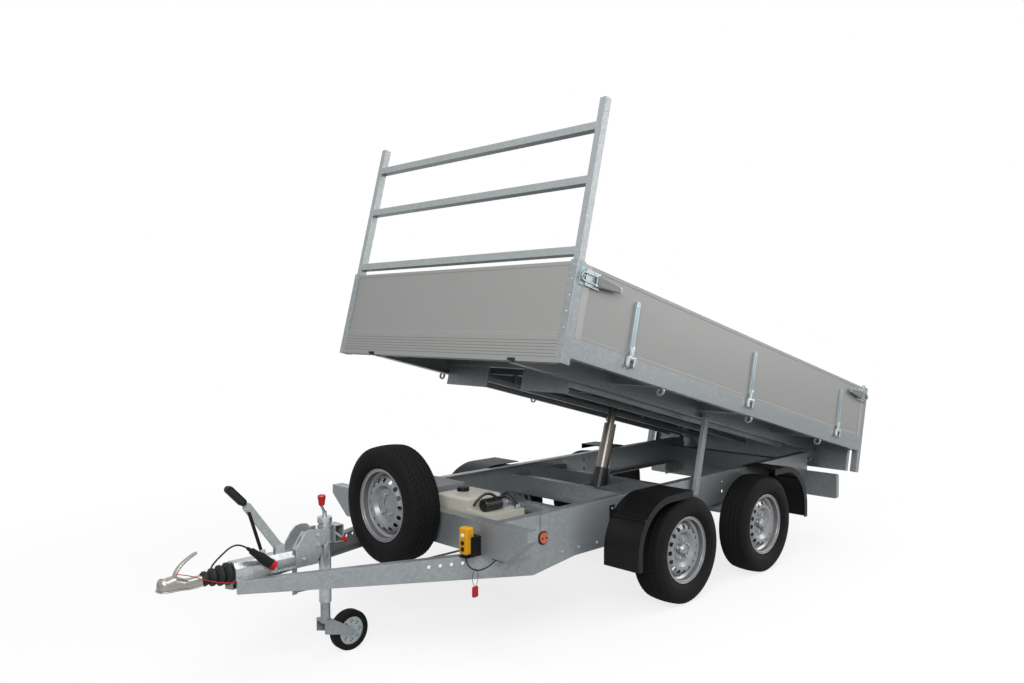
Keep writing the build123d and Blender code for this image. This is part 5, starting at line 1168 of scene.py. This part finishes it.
class Fasteners:
    """Bolts, rivets and washers on all the bodies."""

    # Heads from the foot up: height, radius, and the sides of the polygon
    BOLT = ((-1.0, 11), (1.6, 11), (1.6, 8.6, 6), (7.0, 8.6, 6), (7.8, 7.2, 6), (7.8, 0.0, 6))
    SMALL_BOLT = ((-1.0, 8.0), (1.2, 8.0), (1.2, 6.2, 6), (5.0, 6.2, 6), (5.6, 5.2, 6), (5.6, 0.0, 6))
    RIVET = ((-1.0, 5.5), (0.5, 5.5), (1.7, 4.4), (2.5, 2.4), (2.7, 0.0))
    WHEEL_BOLT = ((-3.0, 10.5), (1.0, 11.5), (3.0, 11.5), (3.0, 9.6, 6), (15, 9.6, 6), (17, 7.8, 6),
                  (17, 0.0, 6))
    WASHER = ((-1.0, 13), (1.5, 13), (2.0, 12.4), (2.0, 5.6), (-1.0, 5.4))
    BOLT_CIRCLE_R, WHEEL_R, WHEEL_FACE = 56, 314.5, 764
    SPARE = (-1483.5, 82, 675)
    STRAP_FACE = 946

    def wheel_bolts(self) -> list[Turned]:
        """Five bolts on each road wheel and three on the spare.

        Returns:
            The pieces.
        """
        turn = angles(5)
        ring = self.BOLT_CIRCLE_R * np.stack([np.sin(turn), np.cos(turn)], axis=1)
        made = [
            Turned(f"{wheel}_bolts", wheel, Base.CHASSIS, Palette.ZINC,
                   tuple((station + side * x, side * self.WHEEL_FACE, self.WHEEL_R + z) for x, z in ring),
                   (0, side, 0), self.WHEEL_BOLT)
            for wheel, station, side in WHEELS
        ]
        station, across, up = self.SPARE
        places = tuple((station, across - x, up + z) for x, z in ring[[0, 2, 3]])
        return made + [Turned("spare_bolts", *CHASSIS, Palette.ZINC, places, FRONT, self.WHEEL_BOLT)]

    def tail_rivets(self) -> list[Turned]:
        """Rivets on the tailgate's straps and bolts on the lamp board.

        Returns:
            The pieces.
        """
        straps = tuple(product((84,), (-600, 0.0, 600), (150, 240, 330, 400)))
        board = tuple(product((1863,), (-520, -300, 300, 520), (427.5,)))
        return [
            Turned("tailgate_rivets", *BED, Palette.ZINC, straps, TAIL, self.RIVET),
            Turned("lamp_board_bolts", *CHASSIS, Palette.ZINC, board, TAIL, self.BOLT),
        ]

    def side_rows(self, word: str, side: int) -> list[Turned]:
        """Bolts, rivets and washers of one side.

        They are on the drawbars, the mudguard stays, the jockey clamp, the side marker and the front post, on the
        latches' keepers, and on the dropside's straps and latches.

        Args:
            word: Name of the side.
            side: Its way along Y.

        Returns:
            The pieces.
        """
        out, gate = (0, side, 0), (f"dropside_{word}", Base.BED)
        plates = ((-849, 430), (-714, 430), (-560, 425))
        stays = product((-436, 1326), (524, 596))
        clamp = ((-2066, 522), (-1990, 624), (-1990, 577))
        markers = tuple((MARKER[0] + d, MARKER[1]) for d in (-14, 14))
        keepers = product(LATCH_PINS.values(), (LATCH_W - 36, LATCH_W + 36))
        latches = product((-3120, -3080, -22, -62), (LATCH_W - 33, LATCH_W + 33))
        posts = product((-3243,), (170, 250, 330, 410, 480))
        # Name, body and base, axis, head, distance across, and measures along and up
        rows = (
            ("drawbar_bolts", CHASSIS, out, self.BOLT, RAIL_FACE, plates),
            ("stay_bolts", CHASSIS, out, self.SMALL_BOLT, RAIL_FACE + 5.0, stays),
            ("clamp_bolts", CHASSIS, out, self.BOLT, 56, clamp),
            ("marker_screws", CHASSIS, out, self.RIVET, RAIL_FACE + 12, markers),
            ("front_post_rivets", BED, FRONT, self.RIVET, 917.5, posts),
            ("keeper_rivets", BED, out, self.RIVET, 943.5, keepers),
            ("strap_rivets", gate, out, self.RIVET, self.STRAP_FACE, product(STRAPS, (240, 300, 360))),
            ("strap_washers", gate, out, self.WASHER, self.STRAP_FACE, product(STRAPS, (412,))),
            ("latch_rivets", gate, out, self.RIVET, 948, latches),
        )
        return [
            Turned(f"{name}_{word}", *home, Palette.BLACK_PLASTIC if name == "marker_screws" else Palette.ZINC,
                   tuple((s, side * y, z) for s, z in spots), axis, head)
            for name, home, axis, head, y, spots in rows
        ]

    def build(self) -> list[bpy.types.Object]:
        """Builds them all.

        Returns:
            The pieces.
        """
        made = self.wheel_bolts() + self.tail_rivets()
        for word, side in SIDES.items():
            made += self.side_rows(word, side)
        return [piece.build() for piece in made]


class Covers:
    """Coloured caps, knobs, buttons, lenses and plates that sit on the CAD pieces."""

    BUTTON = ((-1.0, 11.5), (1.0, 11.5), (1.6, 10.6), (6.0, 9.6), (7.4, 7.0), (7.9, 3.5), (8.0, 0.0))
    FILLER = ((-4.0, 33), (0.0, 34, 12), (18, 33.5, 12), (22, 31), (22.8, 20), (22, 0.0))
    TERMINAL = ((-1.0, 17), (6.0, 16), (12, 12), (15, 6.0), (15.5, 0.0))
    KNOB = ((-2.0, 0.0), (-2.0, 12), (2.0, 14.5), (22, 17), (40, 20), (47, 18.5), (50, 13),
            (51, 0.0))
    BOLT_GRIP = ((-1.0, 0.0), (-1.0, 8.0), (4.0, 10.5), (24, 11.5), (40, 10.5), (44, 7.0), (45, 0.0))
    SOCKET_CAP = ((-3.0, 22.5), (-3.0, 24.5), (3.0, 24.5), (4.0, 22.4), (21, 21.8), (24, 18), (25, 0.0))
    RED_DOT = ((-1.0, 7.0), (1.0, 6.6), (2.6, 4.4), (3.2, 0.0))
    MARKER_RING = ((-0.5, 36), (4.0, 35.5), (6.0, 33.5), (6.0, 29), (2.0, 28.5))
    # Turned covers: name, finish, places, axis, section and points round
    TURNED = (
        # The top button is yellow; its white finish is a painted highlight
        ("remote_button_top_painted_highlight", Palette.WHITE, ((-1442, -483.5, 600),), FRONT, BUTTON, 24),
        ("remote_buttons", Palette.BLACK_PLASTIC, ((-1442, -483.5, 564), (-1442, -483.5, 534)), FRONT,
         BUTTON, 24),
        ("tank_filler_cap", Palette.BLACK_PLASTIC, ((-1132.5, -130, 727),), UP, FILLER, 72),
        ("battery_terminal_red", Palette.RED, ((-1215, 20, 745),), UP, TERMINAL, 24),
        ("battery_terminal_black", Palette.BLACK_PLASTIC, ((-1215, 290, 745),), UP, TERMINAL, 24),
        ("jockey_crank_knob", Palette.RED, ((-1954, -30, 762),), UP, KNOB, 24),
        ("jockey_clamp_grip", Palette.RED, ((-1852, -40, 589),), JockeyClamp.BOLT_AXIS, BOLT_GRIP, 24),
        ("plug_socket_cap", Palette.RED, ((-2250, -77, 542),), (107, -22, -90), SOCKET_CAP, 32),
        ("coupling_mark", Palette.RED, ((-2722, 0.0, 555.5),), UP, RED_DOT, 24),
    )
    # Blocks of the hand control: name, finish, middle, half sizes and edge
    PENDANT = (
        ("remote_shell", Palette.YELLOW, (-1426, -483.5, 573), (16, 28.5, 67), 0.2),
        ("remote_head", Palette.YELLOW, (-1417, -483.5, 613.5), (25, 29.5, 25.5), 0.24),
        ("remote_back", Palette.BLACK_PLASTIC, (-1409, -483.5, 545), (6.0, 29.5, 46), 0.15),
        ("remote_gland", Palette.BLACK_RUBBER, (-1425, -485, 499), (9.0, 9.0, 9.0), 0.5),
    )
    # Tail lenses: tint, finish, distance across and half width
    LENSES = (("red", Palette.TAIL_RED, 615, 38), ("clear", Palette.CLEAR, 690, 36.5),
              ("amber", Palette.AMBER, 766, 39))
    STRIPS = {"front": -3156, "rear": 15}

    def side_blocks(self, word: str, side: int) -> list[Block]:
        """Lenses, keeper plates, end strips and hinges of one side.

        Each hinge has two cast fingers on the bed and one on the dropside, whose strap has a plate with raised
        edges.

        Args:
            word: Name of the side.
            side: Its way along Y.

        Returns:
            The pieces.
        """
        gate = (f"dropside_{word}", Base.BED)
        made = [
            Block(f"tail_lens_{tint}_{word}", *CHASSIS, finish, (1888, side * y, 427.5), (25, half, 66), 0.16)
            for tint, finish, y, half in self.LENSES
        ]
        made += [
            Block(f"keeper_plate_{end}_{word}", *BED, Palette.BLUE_ZINC, (a, side * 941.7, LATCH_W),
                  (14.6, 2.0, 47), 0.08)
            for end, a in LATCH_PINS.items()
        ]
        made += [
            Block(f"dropside_end_strip_{end}_{word}", *gate, Palette.STRIP, (a, side * 937.4, 316),
                  (24.5, 2.4, 184), 0.06)
            for end, a in self.STRIPS.items()
        ]
        # Name, body and base, finish, steps from the strap's middle, distance across, height, half sizes and edge
        hinges = (
            ("hinge_fingers_fixed", BED, Palette.ZINC, (-24, 24), 953, 108, (9.0, 9.3, 29), 0.35),
            ("hinge_fingers_moving", gate, Palette.ZINC, (0.0,), 953, 153, (10.5, 8.8, 36), 0.35),
            ("strap_plates", gate, Palette.BLUE_ZINC, (0.0,), 946.4, 293, (14, 1.4, 122), 0.12),
            ("strap_edges", gate, Palette.ZINC, (-13, 13), 946.8, 293, (2.2, 2.2, 120), 0.2),
        )
        return made + [
            Block(f"{name}_{word}", *home, finish, tuple((a + d, side * y, w) for a in STRAPS for d in steps),
                  half, edge)
            for name, home, finish, steps, y, w, half, edge in hinges
        ]

    def build(self) -> list[bpy.types.Object]:
        """Builds them all.

        Returns:
            The pieces.
        """
        made: list[Piece] = [Turned(name, *CHASSIS, *rest) for name, *rest in self.TURNED]
        made += [Turned(f"marker_ring_{word}", *CHASSIS, Palette.BLACK_RUBBER,
                        ((MARKER[0], side * RAIL_FACE, MARKER[1]),), (0, side, 0), self.MARKER_RING, 48)
                 for word, side in SIDES.items()]
        made += [Block(name, *CHASSIS, *rest) for name, *rest in self.PENDANT]
        for word, side in SIDES.items():
            made += self.side_blocks(word, side)
        return [piece.build() for piece in made]


@dataclass(frozen=True)
class LatchLevers:
    """Levers of the over-centre latches; sizes in mm.

    Attributes:
        reach: Where a lever starts and ends, from its latch's pin.
        face: Distance of its foot from the middle of the trailer.
        heights: Half its height at shares 0, 0.3 and 1 of its length.
        thick: Its thickness at the start and the end.
        edge: Power of its section.
        dish: Depth of the dish in its face, as a share, half its height, and the shares where it starts and ends.
        points: Points along and points round.
    """

    WAYS = {"front": 1.0, "rear": -1.0}  # From each pin to its lever

    reach: tuple = (88, 288)
    face: float = 953.6
    heights: tuple = (31, 26.5, 14)
    thick: tuple = (11, 10.6)
    edge: float = 0.35
    dish: tuple = (0.06, 9.0, 0.2, 0.92)
    points: int = 40

    def build(self) -> list[bpy.types.Object]:
        """Builds four levers.

        Along share t, the section is a superellipse whose half height follows the three heights and whose
        thickness falls evenly, and it closes at both ends; a dish of the shape exp(-(rise / half height)^2) runs
        along the outer face.

        Returns:
            The pieces.
        """
        t, u = np.linspace(0.0, 1.0, self.points)[:, None], angles(self.points)[None, :]
        rise = np.interp(t, (0.0, 0.3, 1.0), self.heights) * closing(t) * power(np.sin(u), self.edge)
        deep = np.interp(t, (0.0, 1.0), self.thick) / 2 * closing(t)
        out = deep * power(np.cos(u), self.edge) + self.thick[0] / 2
        depth, half, first, last = self.dish
        on_face = (np.cos(u) > 0.3) * (t > first) * (t < last)
        out *= 1.0 - depth * np.exp(-(rise / half) ** 2) * on_face
        made = []
        for (word, side), (end, pin) in product(SIDES.items(), LATCH_PINS.items()):
            along = pin + self.WAYS[end] * np.interp(t, (0.0, 1.0), self.reach) + 0.0 * u
            local = np.stack([along, side * (self.face + out), LATCH_W + rise], axis=-1)
            made.append(skin(f"latch_lever_{end}_{word}", (f"dropside_{word}", Base.BED), Palette.LAMELLA, local))
        return made


@dataclass(frozen=True)
class PumpSet:
    """Motor, valve block and bent steel pipes on the tank's lower step; sizes in mm.

    Attributes:
        pipes: Start, end and rise of each pipe.
        bore: Radius of a pipe.
        bend: Power of the bend's sine; under 1, it rises more steeply at the ends.
        along: Points along a pipe.
        round: Points round it.
    """

    MOTOR = ((0.0, 0.0), (0.0, 30), (3.0, 33), (70, 33), (71, 31), (76, 31), (77, 33),
             (112, 33), (116, 28), (118, 0.0))
    UNION = ((-1.0, 11, 6), (9.0, 11, 6), (10, 9.0), (20, 8.0), (20, 0.0))

    pipes: tuple = (
        ((-1092, -372, 704), (-1046, -462, 670), 42),
        ((-1070, -352, 704), (-1026, -454, 670), 56),
        ((-1232, -330, 690), (-1098, -400, 690), 60),
    )
    bore: float = 7.0
    bend: float = 0.8
    along: int = 40
    round: int = 16

    def pipe(self, start: tuple, end: tuple, rise: float) -> Array:
        """Points of one bent pipe.

        Its middle line is start + t * (end - start), lifted by rise * sin(pi t) ^ bend; its section is a circle.

        Args:
            start: First point.
            end: Last point.
            rise: Height of the bend.

        Returns:
            Points of shape (along, round, 3), in mm.
        """
        t = np.linspace(0.0, 1.0, self.along)[:, None]
        first, last = np.array(start), np.array(end)
        line = first + t * (last - first) + rise * np.sin(np.pi * t) ** self.bend * np.array(UP)
        bore = np.full(self.along, self.bore)
        return swept(line, bore, bore, 1.0, UP, self.round)

    def build(self) -> list[bpy.types.Object]:
        """Builds the set.

        Returns:
            The pieces.
        """
        points = np.stack([self.pipe(*row) for row in self.pipes])
        pipes = skin("hydraulic_pipes", CHASSIS, Palette.BLACK_PAINT, points)
        unions = tuple(row[end] for row in self.pipes[:2] for end in (0, 1))
        others = (
            Turned("pump_motor", *CHASSIS, Palette.BLACK_PAINT, ((-1226, -395, 701.5),), TAIL, self.MOTOR, 48),
            Block("pump_valve_block", *CHASSIS, Palette.ZINC, (-1080, -366, 686), (34, 30, 19), 0.08),
            Turned("pump_unions", *CHASSIS, Palette.ZINC, unions, UP, self.UNION),
        )
        return [pipes, *(piece.build() for piece in others)]


@dataclass(frozen=True)
class Handbrake:
    """Ribbed rubber sleeve on the handbrake's grip; sizes in mm.

    Attributes:
        foot: Lower end of the grip, as station and height.
        head: Its upper end.
        half: Half its width and half its thickness.
        edge: Power of its section.
        ribs: Number of ribs.
        rib_depth: Depth of the ribs, as a share of the size.
        plain: Share of the length at each end that has no ribs.
        along: Points along the sleeve.
        round: Points round it.
    """

    foot: tuple = (-2344, 823.6)
    head: tuple = (-2423, 906.6)
    half: tuple = (18.2, 17.2)
    edge: float = 0.6
    ribs: int = 15
    rib_depth: float = 0.06
    plain: float = 0.12
    along: int = 181
    round: int = 36

    def build(self) -> list[bpy.types.Object]:
        """Builds the sleeve.

        The section is a superellipse carried along the grip; its size is 1 - rib_depth * (1 - cos) / 2, a
        wave of so many ribs between the plain ends, and it closes at both ends.

        Returns:
            The piece, alone in a list.
        """
        t, u = np.linspace(0.0, 1.0, self.along)[:, None], angles(self.round)[None, :]
        foot, head = np.array(self.foot), np.array(self.head)
        ahead = (head - foot) / np.hypot(*(head - foot))
        ribbed = np.clip((t - self.plain) / (1.0 - 2 * self.plain), 0.0, 1.0)
        size = (1.0 - self.rib_depth * (0.5 - 0.5 * np.cos(TURN * self.ribs * ribbed))) * closing(t)
        wide = self.half[0] * size * power(np.cos(u), self.edge)
        deep = self.half[1] * size * power(np.sin(u), self.edge)
        station = foot[0] + t * (head[0] - foot[0]) - wide * ahead[1]
        height = foot[1] + t * (head[1] - foot[1]) + wide * ahead[0]
        points = np.stack([station, deep, height], axis=-1)
        return [skin("handbrake_sleeve", CHASSIS, Palette.BLACK_RUBBER, points)]


def dress_nodes() -> None:
    """Gives every CAD node its own finish or that of its slot."""
    for part in frame["record"]["subparts"]:
        obj = frame["nodes"][part["node"]]
        finish = OWN_FINISH.get(part["node"], SLOT_FINISH[part["material_slot"]])
        obj.data.materials.clear()
        obj.data.materials.append(finish.material())
        LOG.info("%s: %s", part["node"], finish.name)


def main() -> None:
    """Builds the studio and the trailer's looks in order."""
    Studio().build()
    dress_nodes()
    for assembly in (Cords, RoadWheels, Fasteners, Covers, LatchLevers, Handbrake, PumpSet, Coupling, JockeyClamp):
        for piece in assembly().build():
            LOG.info("built %s", piece.name)


if __name__ == "__main__":
    logging.basicConfig(level=logging.INFO)
    main()
